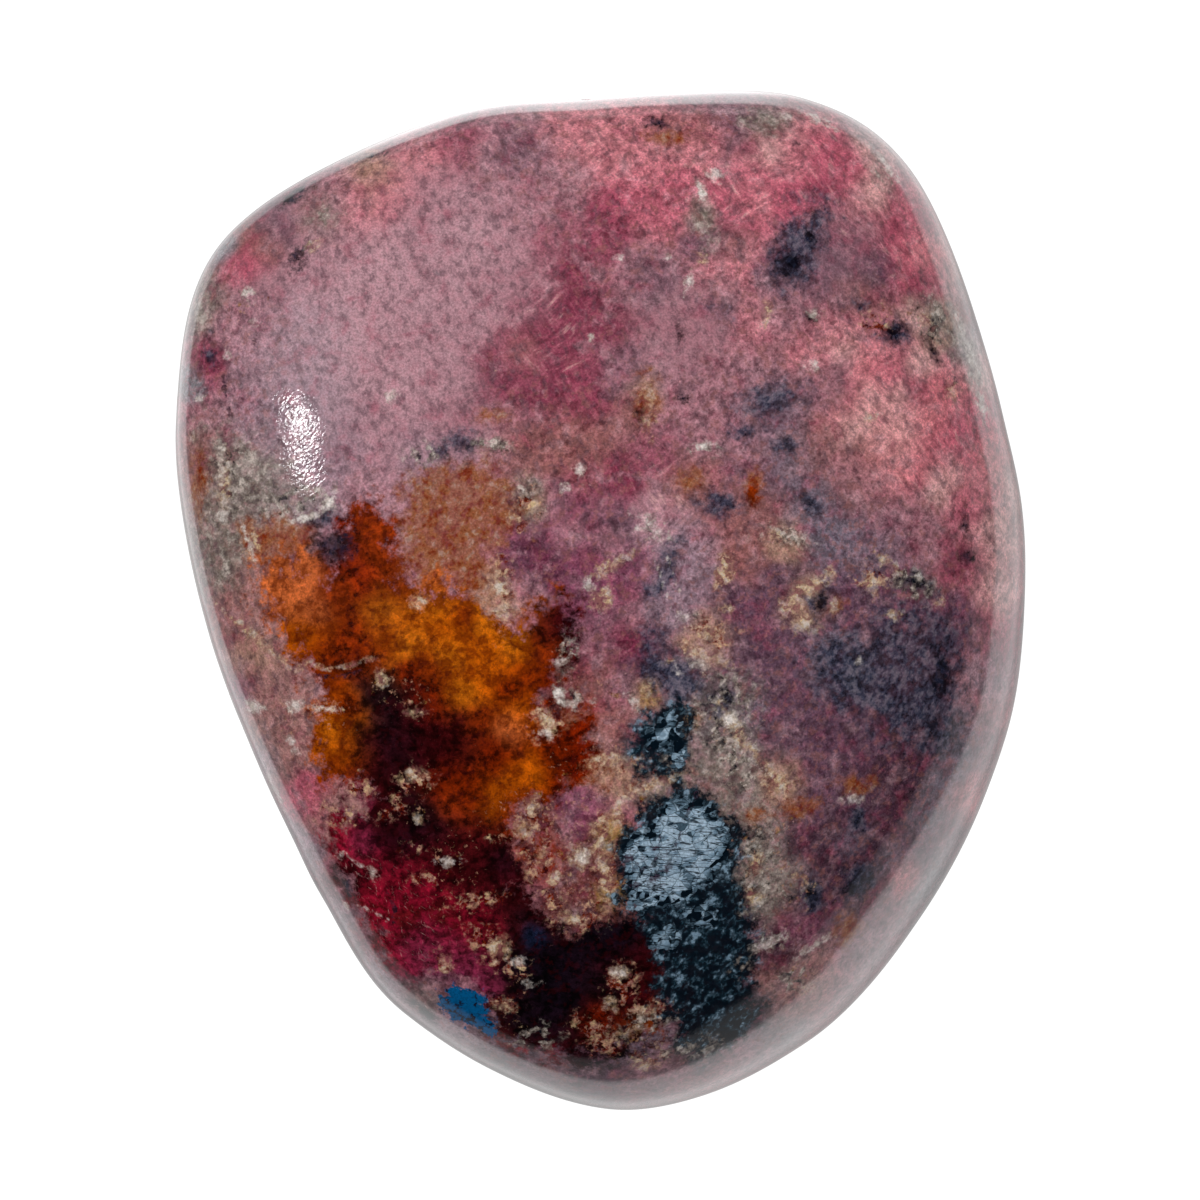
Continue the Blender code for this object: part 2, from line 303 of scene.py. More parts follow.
# Where the fine textures are strong: middle in millimetres and reach.
TEXTURE_SPOTS: dict[Texture, tuple[Spot, ...]] = {
    Texture.PEPPER: (
        (-16, 23, 6), (-9, 28, 4), (-20, 17, 4), (-14, 14, 3), (-27, 29, 3), (-14, 32, 3), (20, 28, 2.4),
        (26, -6, 2.4), (6, 22, 3)),
    Texture.FIBRES: (
        (19, 34, 3), (23, 32, 2.4), (26, 28, 2.4), (25, 14, 3.4), (22, 18, 2.4), (28, 11, 2), (-8, 38, 2),
        (4.6, 6, 1.6), (5, 9, 2), (-4.5, 24, 2), (-3, 20, 2), (11, 33, 2), (-27.5, -4, 2), (-25.6, 2, 1.4),
        (27, 21, 1.6), (15, 36, 2), (0, 36, 2), (-25, 12, 2)),
    Texture.BRUSH: (
        (-25, 14.4, 1.6), (-24.4, 12, 1.6), (-26, 16, 1.2), (-23.6, 10.4, 1.2)),
    Texture.THREADS: (
        (-18, -25, 2.2), (-20, -21.5, 1), (-15, -27, 1.6), (-26, -8, 1.2), (-29, 21, 1.4), (27, 22, 1.6)),
    Texture.SPARKS: (
        (-3, -18, 1.8), (-2, -24.5, 1.8), (-4.8, -20, 1.6), (11.4, -11, 2.2), (2, -16.4, 1.8),
        (0, -12, 1.6), (12.6, -21, 1.8), (-3.6, -13, 1.2), (-18, -7, 1.4), (-15, -8.6, 1.6),
        (-15, -14.4, 1.4), (-16, -17, 1.4), (-12.6, -20.6, 1.6), (-10, -24.4, 1.8), (-13, -25.5, 1.2),
        (-6, -17, 1.4), (-3, -3.6, 1.2), (-3, -7.6, 1.4), (-22, -9.6, 1.2), (3, -37, 2), (-7, -31, 1),
        (14, -18, 2), (16.6, -24, 2), (-26, -10, 2), (14.6, 5, 1.6), (-7, 9, 1.6), (-29, 23, 1.6),
        (1, -6.6, 1.4), (16, -30.6, 1.6), (24, 22.6, 1.4), (-6.6, -34.6, 1.4), (22, 3, 1.4),
        (-20.6, -15, 1), (-9, -18, 1.4)),
}

# Patches of the minerals: middle, half length and half width in millimetres, and a turn from +X in
# degrees where there is one.
PATCHES: dict[Mineral, tuple[Spot, ...]] = {
    Mineral.QUARTZ: (
        (-32.8, 23.5, 0.7, 1.8), (13.4, 39.2, 2, 0.9), (23, 34.8, 1.2, 0.6, -50), (28, 23, 1.8, 1.4, -40),
        (30.6, 19.4, 0.9, 2.6, 15), (-9, 12.8, 1.2, 0.7), (25.8, 1.5, 1.6, 1), (8.3, 31.5, 0.6, 2.4, 14),
        (-33, 14, 0.6, 1.4), (-6, 8, 1.2, 1.5), (11, -7.6, 2, 1.6), (10.4, -12.6, 2, 2),
        (-22.6, 31.6, 1.4, 0.8), (20.6, -6.3, 0.5, 0.9), (29.4, 21.4, 1.2, 2, 20), (-3.4, -5, 0.8, 1),
        (12.6, -22.6, 1.6, 2.6)),
    Mineral.OCHRE: (
        (12.4, 9.2, 0.6, 1.2), (20.9, -15, 1.3, 0.8), (16.4, -16.8, 1.2, 0.8), (-33, 9.6, 0.6, 2.4),
        (7, 9.8, 1.2, 0.9), (20.2, -27, 1.2, 1.4, 30), (18.9, -0.3, 0.8, 0.7), (13, -17.5, 1, 0.5),
        (-1.6, -13.6, 1.8, 1.6), (-2.6, -10.6, 1.4, 1.4), (3.7, 16.4, 0.8, 1.6), (5.4, 38, 1.2, 0.5),
        (-9, 15, 1, 0.5)),
    Mineral.SLATE: (
        (17.6, 31.4, 1.4, 0.9), (21.1, 24.1, 0.7, 0.5), (24, 21.9, 1.1, 1.1), (22.4, 21.7, 1, 0.4, 10),
        (27.4, -7, 1.8, 2.8), (-32, 20, 0.4, 1.2), (9.6, 8, 1.8, 1), (21.2, -22.8, 1.3, 1.6),
        (17.3, -24.2, 1.1, 1.6), (21, -18, 0.8, 1.1), (5, 1.8, 0.9, 2.4, -20), (14, 16.6, 2.4, 1.2, 20),
        (-11.4, 12.8, 1.1, 1.2), (18, 0.1, 1, 0.9), (9.6, 24, 1.1, 0.4, -30), (4.4, -4.6, 1.2, 2.4),
        (-22.4, 6.7, 1.8, 0.6), (-13, 12.2, 0.8, 0.7), (25.8, 1.6, 1, 0.6), (11.6, 13.8, 1.4, 0.7, 30),
        (6.4, -6.6, 1.8, 2.2), (9.4, -8, 1.2, 1), (17, 7.8, 0.9, 0.7, -30), (15.4, 12.6, 0.9, 0.5)),
    Mineral.ORE: (
        (-1.4, -34.4, 2, 1.3), (-20.6, 6.6, 1.2, 0.8, 20), (-1, -37.2, 4.2, 0.7),
        (-14.4, -33.6, 1.4, 0.5, -40), (12.4, 8.8, 0.5, 0.5)),
    Mineral.TEAL: (
        (5, -11.4, 2.2, 2.4), (6.4, -9, 1, 1)),
    Mineral.WARM_CRUMBS: (
        (-4.8, -19.6, 1.1, 0.8), (-2, -25, 1.5, 1), (-0.8, -35, 1.6, 0.8), (-9, -28.2, 2.2, 1.2, -50),
        (-7, -30, 1.2, 0.8), (1.8, -31.6, 1.3, 2.1), (1, -13.2, 1.8, 0.9), (3.4, -15.2, 2.4, 0.7, 20),
        (-4.6, -9.8, 1.6, 1.3, 30), (-8.1, 1, 0.8, 2.8), (-21.2, -17.4, 1.9, 0.8), (-8.2, -33.1, 1.3, 0.6),
        (14.6, -15, 1.5, 1.2, -40), (-13, -29.4, 0.8, 1), (3.6, -33.4, 1.8, 0.7), (-6, 8, 1.2, 1.4),
        (-1.4, -34, 0.8, 0.6), (0.6, -18, 1, 1.2), (22.4, 22.8, 1.4, 0.8), (-24, -8.8, 3, 0.5),
        (8.8, -3.4, 1.8, 1.9), (10, 2.4, 0.9, 1.4), (28.6, 17.2, 1.4, 0.6, 20), (22.2, 2, 1.4, 0.9),
        (0.4, -36.4, 1.4, 0.7), (4.2, -37.2, 1.4, 1.2), (-10, -24.4, 2.4, 0.5, 8),
        (-15.2, -14.6, 1.6, 1, 30), (-5.2, -19, 1.2, 2, 10), (-3.6, -24, 1.4, 1.2, 40),
        (-15.4, -20.2, 0.9, 0.5), (-7, 5.8, 1.6, 0.6, 40), (-17, -17, 1.4, 0.6, 20), (-14, -22.8, 1.4, 0.5),
        (-19.8, -15.4, 1.2, 0.6), (3.8, 15.6, 0.6, 1.6)),
    Mineral.GREY_CRUMBS: (
        (3.4, -34.8, 2.2, 1.2), (-4.6, -35.4, 1.4, 0.8), (9.8, -9.4, 2, 3, -10), (11.4, -13.4, 1.6, 2),
        (13, -21.6, 1.6, 3), (12.6, -25, 1.2, 1.4), (14, -27.8, 1.4, 0.7, 20), (7.4, -36.6, 3, 0.9),
        (-5.6, -36, 1.6, 0.8), (4.4, 6, 1.5, 0.8, -30), (-30.6, 10.2, 1.2, 3), (-25, 8, 3, 1, 10),
        (-9.4, 12.8, 1.4, 0.7), (27.2, 22.8, 2, 1.5, -40), (20.4, -16, 1, 0.7), (15.8, -23.8, 1.2, 0.9),
        (7, -1.4, 0.9, 0.5), (15, 5.2, 2.4, 0.6, -10), (25.4, 1.4, 2.6, 1, -30), (15.8, -31, 1.6, 1.1),
        (-2.6, -3.8, 0.7, 1.2), (-2.8, -7.8, 1.4, 0.6), (2.4, -8, 0.8, 0.8), (5.8, -13, 0.7, 1.2),
        (8.5, 12.4, 1.2, 0.6), (-28.6, 25, 0.8, 0.5), (-14.4, 12, 1.4, 0.7, 10), (11.6, -30, 0.8, 1.2)),
    Mineral.PLATE: (
        (5, -11, 1.8, 1.1, 10), (6.2, -12.4, 0.8, 1.4), (8.2, -25.8, 1.4, 1.1), (3.8, -24.6, 1.6, 0.8),
        (5.2, -27.6, 1.4, 1.2), (5.4, -10, 0.8, 1)),
    Mineral.AZURE: (
        (-11.2, -33.2, 2.2, 1.7, -35), (-9.5, -34.8, 0.9, 1)),
    Mineral.LENS: (
        (-25.2, 33.2, 1.3, 0.5, 35), (-24.8, 28.2, 0.6, 1.2, -20), (4.4, 39.2, 0.9, 0.5),
        (17, 29.8, 0.5, 0.6), (15.4, 27.6, 0.7, 1, -30), (24.1, 21.9, 0.5, 0.8),
        (27.4, 20.2, 1.4, 0.3, -58), (25.9, 24.1, 0.4, 0.3), (-22, 4.4, 1.8, 1.3, 10),
        (15.9, 37.6, 0.35, 0.3), (6.2, 21.7, 0.3, 0.45), (-18.7, 36.5, 0.7, 0.2, 10),
        (-20.8, -23.4, 0.3, 1.1, 15), (29.8, 6.2, 0.25, 0.9), (-1.1, 1.3, 0.2, 0.2),
        (12.9, -18.7, 0.6, 0.5), (25.9, 1.5, 0.5, 0.35), (27.8, -6, 0.8, 1.6), (29.2, 18.2, 0.4, 0.3),
        (17, 23.1, 0.45, 0.4), (3.1, 15.2, 0.35, 0.5), (17.3, -24, 0.6, 0.8), (20.5, -23.4, 1, 0.6),
        (30, 3.7, 0.8, 0.4), (6.7, 16.6, 0.35, 0.3), (-10.7, 33.2, 0.25, 0.25), (21, -18, 0.5, 0.7),
        (10.4, -8, 0.4, 0.5), (-23.4, -23.2, 0.25, 0.5, 20), (18.1, 0, 0.6, 0.6)),
    Mineral.CREAM: (
        (-3.8, -22.6, 0.5, 0.4), (-2.9, -24.4, 0.4, 0.4), (-5.6, -16.8, 0.4, 0.6),
        (-0.6, -18.4, 0.4, 0.8, 20), (3, -35, 0.5, 0.4), (1.6, -35.4, 0.4, 0.3),
        (13.4, 23.3, 0.4, 0.8, -30), (28.8, 17.1, 0.9, 0.35, 20), (22, 14.9, 0.8, 0.3, 20),
        (22, 1.4, 0.5, 0.8, 20), (18.5, 2.4, 0.4, 0.4), (17.2, 1.2, 1.2, 0.5, 20), (15.9, -0.4, 0.5, 1),
        (16.3, -1.9, 0.8, 0.6), (17.4, -2.4, 0.6, 0.3), (19.1, -0.6, 0.3, 0.6), (14.9, -0.6, 0.25, 0.7),
        (27.6, -0.1, 0.4, 0.3), (24, -1.1, 0.5, 0.3), (23.3, 3.2, 0.9, 0.35, -40), (1.1, 3, 1.7, 0.45, 38),
        (0, 0.1, 0.8, 0.9), (-8.2, 1.4, 0.5, 1), (-8, -0.7, 0.6, 0.5), (10, 2.5, 0.7, 1.1),
        (10.4, -0.5, 0.4, 0.4), (8.8, -4.6, 1.5, 0.5, -20), (8.8, -2.7, 0.8, 0.5), (3.8, 14.6, 0.35, 0.5),
        (3.9, 16.8, 0.35, 0.8), (3.6, -7.2, 0.35, 0.6), (10.8, -9.8, 0.7, 0.5, -30),
        (11.6, -11.8, 0.4, 0.9, 40), (14.4, -14.8, 1.2, 0.9, -30), (13.4, -13.4, 0.6, 0.4, -30),
        (-4.6, -9.6, 0.6, 0.8), (0.9, -13, 1.2, 0.5), (-6.4, -18.6, 0.6, 0.6), (0.3, -21.6, 0.4, 2.8),
        (-1.7, -20.8, 0.9, 0.8), (-4.9, -20.8, 0.5, 0.6), (-2.4, -26, 0.8, 0.5),
        (1.2, -17.6, 0.5, 0.7, -30), (3.4, -15.2, 1.6, 0.3, 18), (-8.4, -28.4, 0.8, 0.9),
        (-8, -33.2, 0.8, 0.3), (1.6, -30.4, 0.8, 0.5), (0.9, -33, 0.4, 0.7), (3.4, -38, 0.7, 0.4),
        (3.8, -33.4, 0.6, 0.4), (12.6, -21.6, 0.6, 0.8), (12.4, -24.2, 0.7, 0.7), (17.1, -31.7, 0.5, 0.4),
        (-15.2, -14.2, 0.7, 0.4), (-17.9, -6.4, 0.4, 0.5), (-14.9, -17.8, 0.4, 0.3),
        (-12.8, -29.4, 0.4, 0.6), (-28.4, 4.8, 0.5, 1.2, -15), (26.6, 23, 0.8, 0.4, -40),
        (8.3, 27.9, 0.35, 0.3), (-7.2, 6.6, 0.5, 0.4), (-15.2, -9, 0.5, 0.3), (5.6, -4.8, 0.3, 0.3),
        (14.2, 5.4, 0.4, 0.3), (-30.9, 9.6, 0.5, 2), (-15, 0, 0.6, 0.6), (-23.6, 29, 0.5, 0.4)),
    Mineral.WHITE: (
        (30.6, 19.4, 0.4, 1.5, 15), (29.4, 22.6, 0.3, 1, 20), (31.2, 16.2, 0.3, 0.8, 15),
        (9.3, 34.9, 0.5, 0.55), (8.2, 33.6, 0.25, 0.7, 10), (15.1, 39.8, 0.4, 0.2),
        (17.7, 39.5, 0.9, 0.18, -25), (23.3, 35.9, 1.1, 0.24, -50), (-31.1, 11.4, 0.2, 1),
        (-30.9, 7, 0.5, 0.4), (17.4, 23.5, 0.3, 0.2), (17.2, 19.3, 0.4, 0.25),
        (-28.4, -8.6, 0.8, 0.35, -20), (-25.1, -8.6, 0.6, 0.4, 10), (-22.6, -8.8, 0.7, 0.15),
        (-18.6, -22.3, 0.3, 0.25), (-12.5, -21.3, 0.5, 0.2), (-4.4, -10.8, 0.35, 0.3),
        (7.9, -5, 0.6, 0.3, -15), (6.8, -1.3, 0.45, 0.25), (8.5, 12.6, 0.6, 0.2), (4, 6.2, 0.9, 0.25, -35),
        (-1.7, 10.7, 0.45, 0.5), (-6.4, 9, 0.35, 0.3), (-2.9, 9.3, 0.3, 0.3), (-2.4, -8.4, 0.5, 0.15),
        (-3.4, -7.6, 0.3, 0.3), (13.8, -27.8, 1.1, 0.3, 25), (17.8, -28.1, 1, 0.14, 30),
        (20.6, -16.2, 0.6, 0.3), (-6.9, -29.4, 0.4, 0.2), (-5.8, -31.2, 0.45, 0.2),
        (-17.1, 16.7, 0.35, 0.35), (-32.9, 16.6, 0.3, 0.2), (21.1, -4.8, 0.25, 0.15),
        (-1.6, -20.8, 0.5, 0.5), (10.6, -9.6, 0.4, 0.4), (-1, 1.4, 0.35, 0.35), (5.4, 28, 0.15, 0.15),
        (7.2, 26.2, 0.15, 0.4, -15), (-28.8, 25.1, 0.3, 0.2), (-30.6, 20.1, 0.25, 0.3),
        (1.4, -30.4, 0.4, 0.3), (-0.8, 21.6, 0.15, 0.25), (1.5, 28.1, 0.3, 0.15), (-28.4, 22.8, 0.25, 0.2),
        (-26.8, -15.5, 0.12, 0.9, 20), (-2.3, -3.5, 0.25, 0.3), (-3.3, -5, 0.3, 0.2),
        (-20.8, -25, 0.2, 0.15), (-21.3, -20.9, 0.2, 0.2), (2.8, -8.4, 0.2, 0.3), (2, -7.5, 0.15, 0.15),
        (6, -5.4, 0.13, 0.13), (6.4, -5.7, 0.12, 0.12), (-25.4, -11.3, 0.25, 0.15), (-25, -12.3, 0.2, 0.2),
        (25.9, 1.9, 0.2, 0.15), (13, -18.8, 0.15, 0.12)),
}


@dataclass(frozen=True)
class Vein:
    """A thin seam of one mineral that shows as a line on the face."""

    mineral: Mineral
    half_width: float
    route: tuple[tuple[float, float], ...]


@dataclass(frozen=True)
class Zone:
    """A large area of one mineral on the face, by its outline in millimetres."""

    mineral: Mineral
    ragged: float
    outline: tuple[tuple[float, float], ...]


@dataclass(frozen=True)
class Look:
    """How one mineral is painted over what lies under it."""

    softness: float
    opacity: float
    broken: float
    fine_edge: bool
    stops: tuple[tuple[float, Hue], ...] = ()


# The lowest mineral comes first. One without stops takes the broad colours of the ore.
LOOKS: dict[Mineral, Look] = {
    Mineral.QUARTZ: Look(1.5, 0.82, 0.5, False, (
        (0.00, Hue.STORM), (0.30, Hue.OLIVE_GREY), (0.65, Hue.QUARTZ), (1.00, Hue.BONE))),
    Mineral.OCHRE: Look(1.5, 0.95, 0.2, False, (
        (0.00, Hue.BURNT), (0.42, Hue.OCHRE), (0.86, Hue.COPPER), (1.00, Hue.TAN))),
    Mineral.SLATE: Look(1.6, 0.94, 0.1, False, (
        (0.10, Hue.SLATE_BLACK), (0.60, Hue.SLATE), (1.00, Hue.SMOKE))),
    Mineral.ORE: Look(1.1, 1.0, 0.0, False),
    Mineral.TEAL: Look(1.0, 0.97, 0.0, False, (
        (0.34, Hue.DARK_TEAL), (0.66, Hue.TEAL), (0.92, Hue.SLATE_STEEL), (1.00, Hue.STEEL))),
    Mineral.WARM_CRUMBS: Look(1.3, 0.95, 1.0, True, (
        (0.00, Hue.MAROON), (0.22, Hue.BURNT), (0.45, Hue.BROWN_ROSE), (0.68, Hue.TAN), (0.86, Hue.PEACH),
        (1.00, Hue.CREAM))),
    Mineral.GREY_CRUMBS: Look(1.3, 0.9, 1.0, True, (
        (0.00, Hue.DARK_TEAL), (0.22, Hue.STORM), (0.48, Hue.OLIVE_GREY), (0.76, Hue.QUARTZ),
        (1.00, Hue.BONE))),
    Mineral.AZURE: Look(0.3, 1.0, 0.0, True, ((0.05, Hue.NAVY), (0.30, Hue.AZURE))),
    Mineral.LENS: Look(1.0, 0.94, 0.1, True, ((0.20, Hue.BLACK), (0.70, Hue.SLATE_BLACK), (1.00, Hue.NAVY))),
    Mineral.CREAM: Look(1.1, 0.92, 0.5, True, (
        (0.00, Hue.BROWN_ROSE), (0.25, Hue.TAN), (0.55, Hue.CREAM), (1.00, Hue.BONE))),
    Mineral.WHITE: Look(1.1, 0.92, 0.3, True, ((0.30, Hue.BONE), (0.60, Hue.WHITE))),
    Mineral.CRACK: Look(0.5, 0.85, 0.2, True, ((0.30, Hue.DARK_TEAL), (0.70, Hue.DARK_PLUM))),
}

ZONES = (
    Zone(Mineral.ORE, 0.90, (
        (-28, 3), (-26, 3.8), (-23.6, 3.6), (-22.4, 3), (-21.6, 5.2), (-20.8, 7.2), (-18.8, 8), (-17, 7.4),
        (-16.2, 5.4), (-16.4, 2.6), (-15.2, 1.6), (-12.6, 1.4), (-10, 0.4), (-8.6, -1.2), (-7, -1.6),
        (-5.6, -0.6), (-4, 0.6), (-2.4, -0.2), (-1.8, -2.6), (-2.4, -5), (-3.8, -6.6), (-4.6, -8.4),
        (-3.4, -9.4), (-1.2, -9.8), (-0.6, -12), (-1, -14.6), (-2.6, -15.4), (-4.4, -16.4), (-6.4, -17.6),
        (-6.6, -20), (-6, -23), (-4.4, -25), (-2.6, -26.6), (-0.4, -26), (0.8, -25.2), (2.6, -25),
        (5, -26.6), (6, -28.6), (6.4, -31), (6, -33.4), (5, -35.4), (3.4, -37), (0, -38),
        (-3, -38), (-6.6, -37), (-9, -36), (-8.8, -34.6), (-9.8, -32.6), (-11.4, -31), (-14, -30),
        (-16.4, -31.6), (-17.4, -30.6), (-18.6, -28), (-20.4, -25), (-21.8, -22), (-22.8, -19.4),
        (-22.4, -18), (-19.6, -17.2), (-19.8, -15.4), (-22.6, -15), (-23.6, -13.4), (-23.8, -10),
        (-23.4, -7), (-24.4, -5.2), (-26, -4.6), (-26.6, -2), (-28.2, 0))),
    Zone(Mineral.TEAL, 0.70, (
        (5.4, -8), (7, -8.6), (7.8, -9.6), (7.4, -12), (6.8, -14.6), (9.6, -16), (11, -18.6),
        (11.8, -21), (12, -25), (12.6, -28), (12.6, -32), (13.4, -34.4), (12, -36), (8, -37.4), (5.4, -36),
        (4.6, -33.8), (4.8, -31), (4.4, -28.6), (3.4, -27), (1.8, -25), (1, -22), (1.2, -19.6),
        (2.6, -18), (3, -16.6), (5, -15.6), (3.4, -13.6), (2.8, -11), (3.6, -9.2))),
    Zone(Mineral.SLATE, 1.10, (
        (18, -2.6), (21, -3), (23, -1.4), (26, -1.2), (28.6, -1.6), (29.8, -4), (29.6, -8), (28.6, -11.6),
        (26, -12.4), (23.6, -10.8), (21, -9), (18.4, -8.6), (17, -6))),
    Zone(Mineral.SLATE, 0.90, (
        (14, 26.4), (15.6, 25.8), (17, 26.6), (17.8, 29), (18.6, 31.4), (17.4, 32.6), (15.8, 31),
        (14.4, 29))),
    Zone(Mineral.OCHRE, 0.90, (
        (-17, 8.4), (-15.4, 10.4), (-12, 12), (-8.6, 11.6), (-7.4, 9), (-7, 6.4), (-8.4, 5), (-9, 2),
        (-8.4, -1), (-12, 0.4), (-16, 1), (-16.6, 4))),
    Zone(Mineral.OCHRE, 0.50, (
        (-29.4, 6.4), (-26, 6.4), (-23.6, 6.2), (-23.2, 3.4), (-26, 3.2), (-28.2, 2.8))),
    Zone(Mineral.QUARTZ, 0.80, (
        (-32, 13.4), (-29.6, 13.8), (-27, 12), (-24.6, 10), (-22, 8.6), (-21.4, 7.4), (-24, 6.6),
        (-29, 6.8), (-29.6, 3.4), (-29.8, 1.4), (-31.8, 1.6), (-32.6, 6))),
    Zone(Mineral.WARM_CRUMBS, 0.50, (
        (-6.8, -17.6), (-5.6, -16.4), (-4.4, -17.4), (-4.8, -19.6), (-3.6, -21), (-3.4, -24), (-2, -25),
        (-0.6, -23.4), (-1.2, -20), (-0.4, -18), (0.8, -18.6), (1.2, -22), (0.8, -25.2), (-1.6, -26.8),
        (-4, -26), (-5.4, -23.6), (-6.4, -20.6))),
    Zone(Mineral.PLATE, 0.45, (
        (1.6, -20), (3.4, -18.6), (5, -16.4), (6.6, -15.8), (8.8, -16.2), (10.2, -18.4), (10.6, -20.4),
        (9.4, -22.8), (7, -24.4), (5, -25), (2.6, -24.6), (1.6, -23))),
)

VEINS = (
    Vein(Mineral.WHITE, 0.12, ((11.0, -11.8), (13.0, -13.6), (14.0, -14.4))),
    Vein(Mineral.WHITE, 0.16, ((-25.4, 6.5), (-23.6, 6.9), (-22.3, 7.8), (-21.7, 8.8))),
    Vein(Mineral.CREAM, 0.08, ((-31.5, -0.1), (-29.4, -2.2), (-27.0, -4.2), (-25.0, -5.9))),
    Vein(Mineral.CREAM, 0.07, ((-29.6, -1.6), (-27.6, -3.2), (-25.8, -5.0))),
    Vein(Mineral.CREAM, 0.12, ((-24.9, -5.7), (-24.1, -4.9), (-22.4, -5.5), (-20.6, -5.3), (-18.4, -4.6))),
    Vein(Mineral.CREAM, 0.20, ((9.6, -8.2), (11.2, -10.4), (12.6, -12.6), (14.4, -14.4))),
    Vein(Mineral.WHITE, 0.10, ((-29.3, 6.3), (-28.9, 4.9), (-28.2, 3.3))),
    Vein(Mineral.WHITE, 0.10, ((2.6, 5.6), (3.6, 6.6), (4.6, 6.0), (5.2, 4.6))),
    Vein(Mineral.WHITE, 0.01, ((4.8, 5.4), (5.4, 3.6), (6.4, 0.8), (6.6, -0.6))),
    Vein(Mineral.WHITE, 0.01, ((4.2, 4.4), (4.6, 2.6), (5.2, 1.2), (5.8, -0.8))),
    Vein(Mineral.CREAM, 0.18, ((0.6, -17.8), (1.6, -16.2), (3.4, -15.6), (5.6, -14.6), (6.6, -14.2))),
    Vein(Mineral.CREAM, 0.18, ((0.9, -18.0), (0.6, -20.0), (0.6, -24.0), (-0.2, -25.8))),
    Vein(Mineral.WHITE, 0.01, ((-21.2, -20.6), (-19.8, -21.6), (-18.4, -22.2))),
    Vein(Mineral.WHITE, 0.01, ((-20.4, -24.8), (-18.6, -25.4), (-17.4, -26.1))),
    Vein(Mineral.CRACK, 0.10, ((-30.9, 18.4), (-30.7, 16.4), (-30.2, 14.8))),
    Vein(Mineral.CRACK, 0.14, ((7.9, -15.6), (7.2, -17.0), (6.6, -18.4), (6.0, -20.0))),
    Vein(Mineral.CRACK, 0.08, ((4.6, -16.8), (5.0, -18.2), (4.8, -19.8))),
    Vein(Mineral.CRACK, 0.07, ((2.4, -20.2), (4.4, -20.1), (6.2, -20.6))),
    Vein(Mineral.CRACK, 0.08, ((2.0, -20.8), (3.8, -20.9), (5.6, -20.9))),
    Vein(Mineral.CRACK, 0.10, ((1.8, -21.4), (3.4, -21.3), (6.2, -21.6))),
    Vein(Mineral.CRACK, 0.07, ((2.6, -22.0), (4.0, -22.1), (5.4, -21.9))),
    Vein(Mineral.CRACK, 0.09, ((2.2, -22.6), (4.0, -22.5), (6.4, -22.7))),
    Vein(Mineral.CRACK, 0.12, ((2.0, -23.1), (3.6, -23.2), (5.6, -23.1))),
    Vein(Mineral.CRACK, 0.09, ((1.9, -23.8), (3.4, -23.7), (5.0, -23.9))),
    Vein(Mineral.CRACK, 0.14, ((-23.6, -6.1), (-21.6, -6.2), (-19.6, -5.7))),
    Vein(Mineral.CRACK, 0.08, ((-17.6, -23.8), (-16.8, -25.2), (-17.2, -26.4))),
)


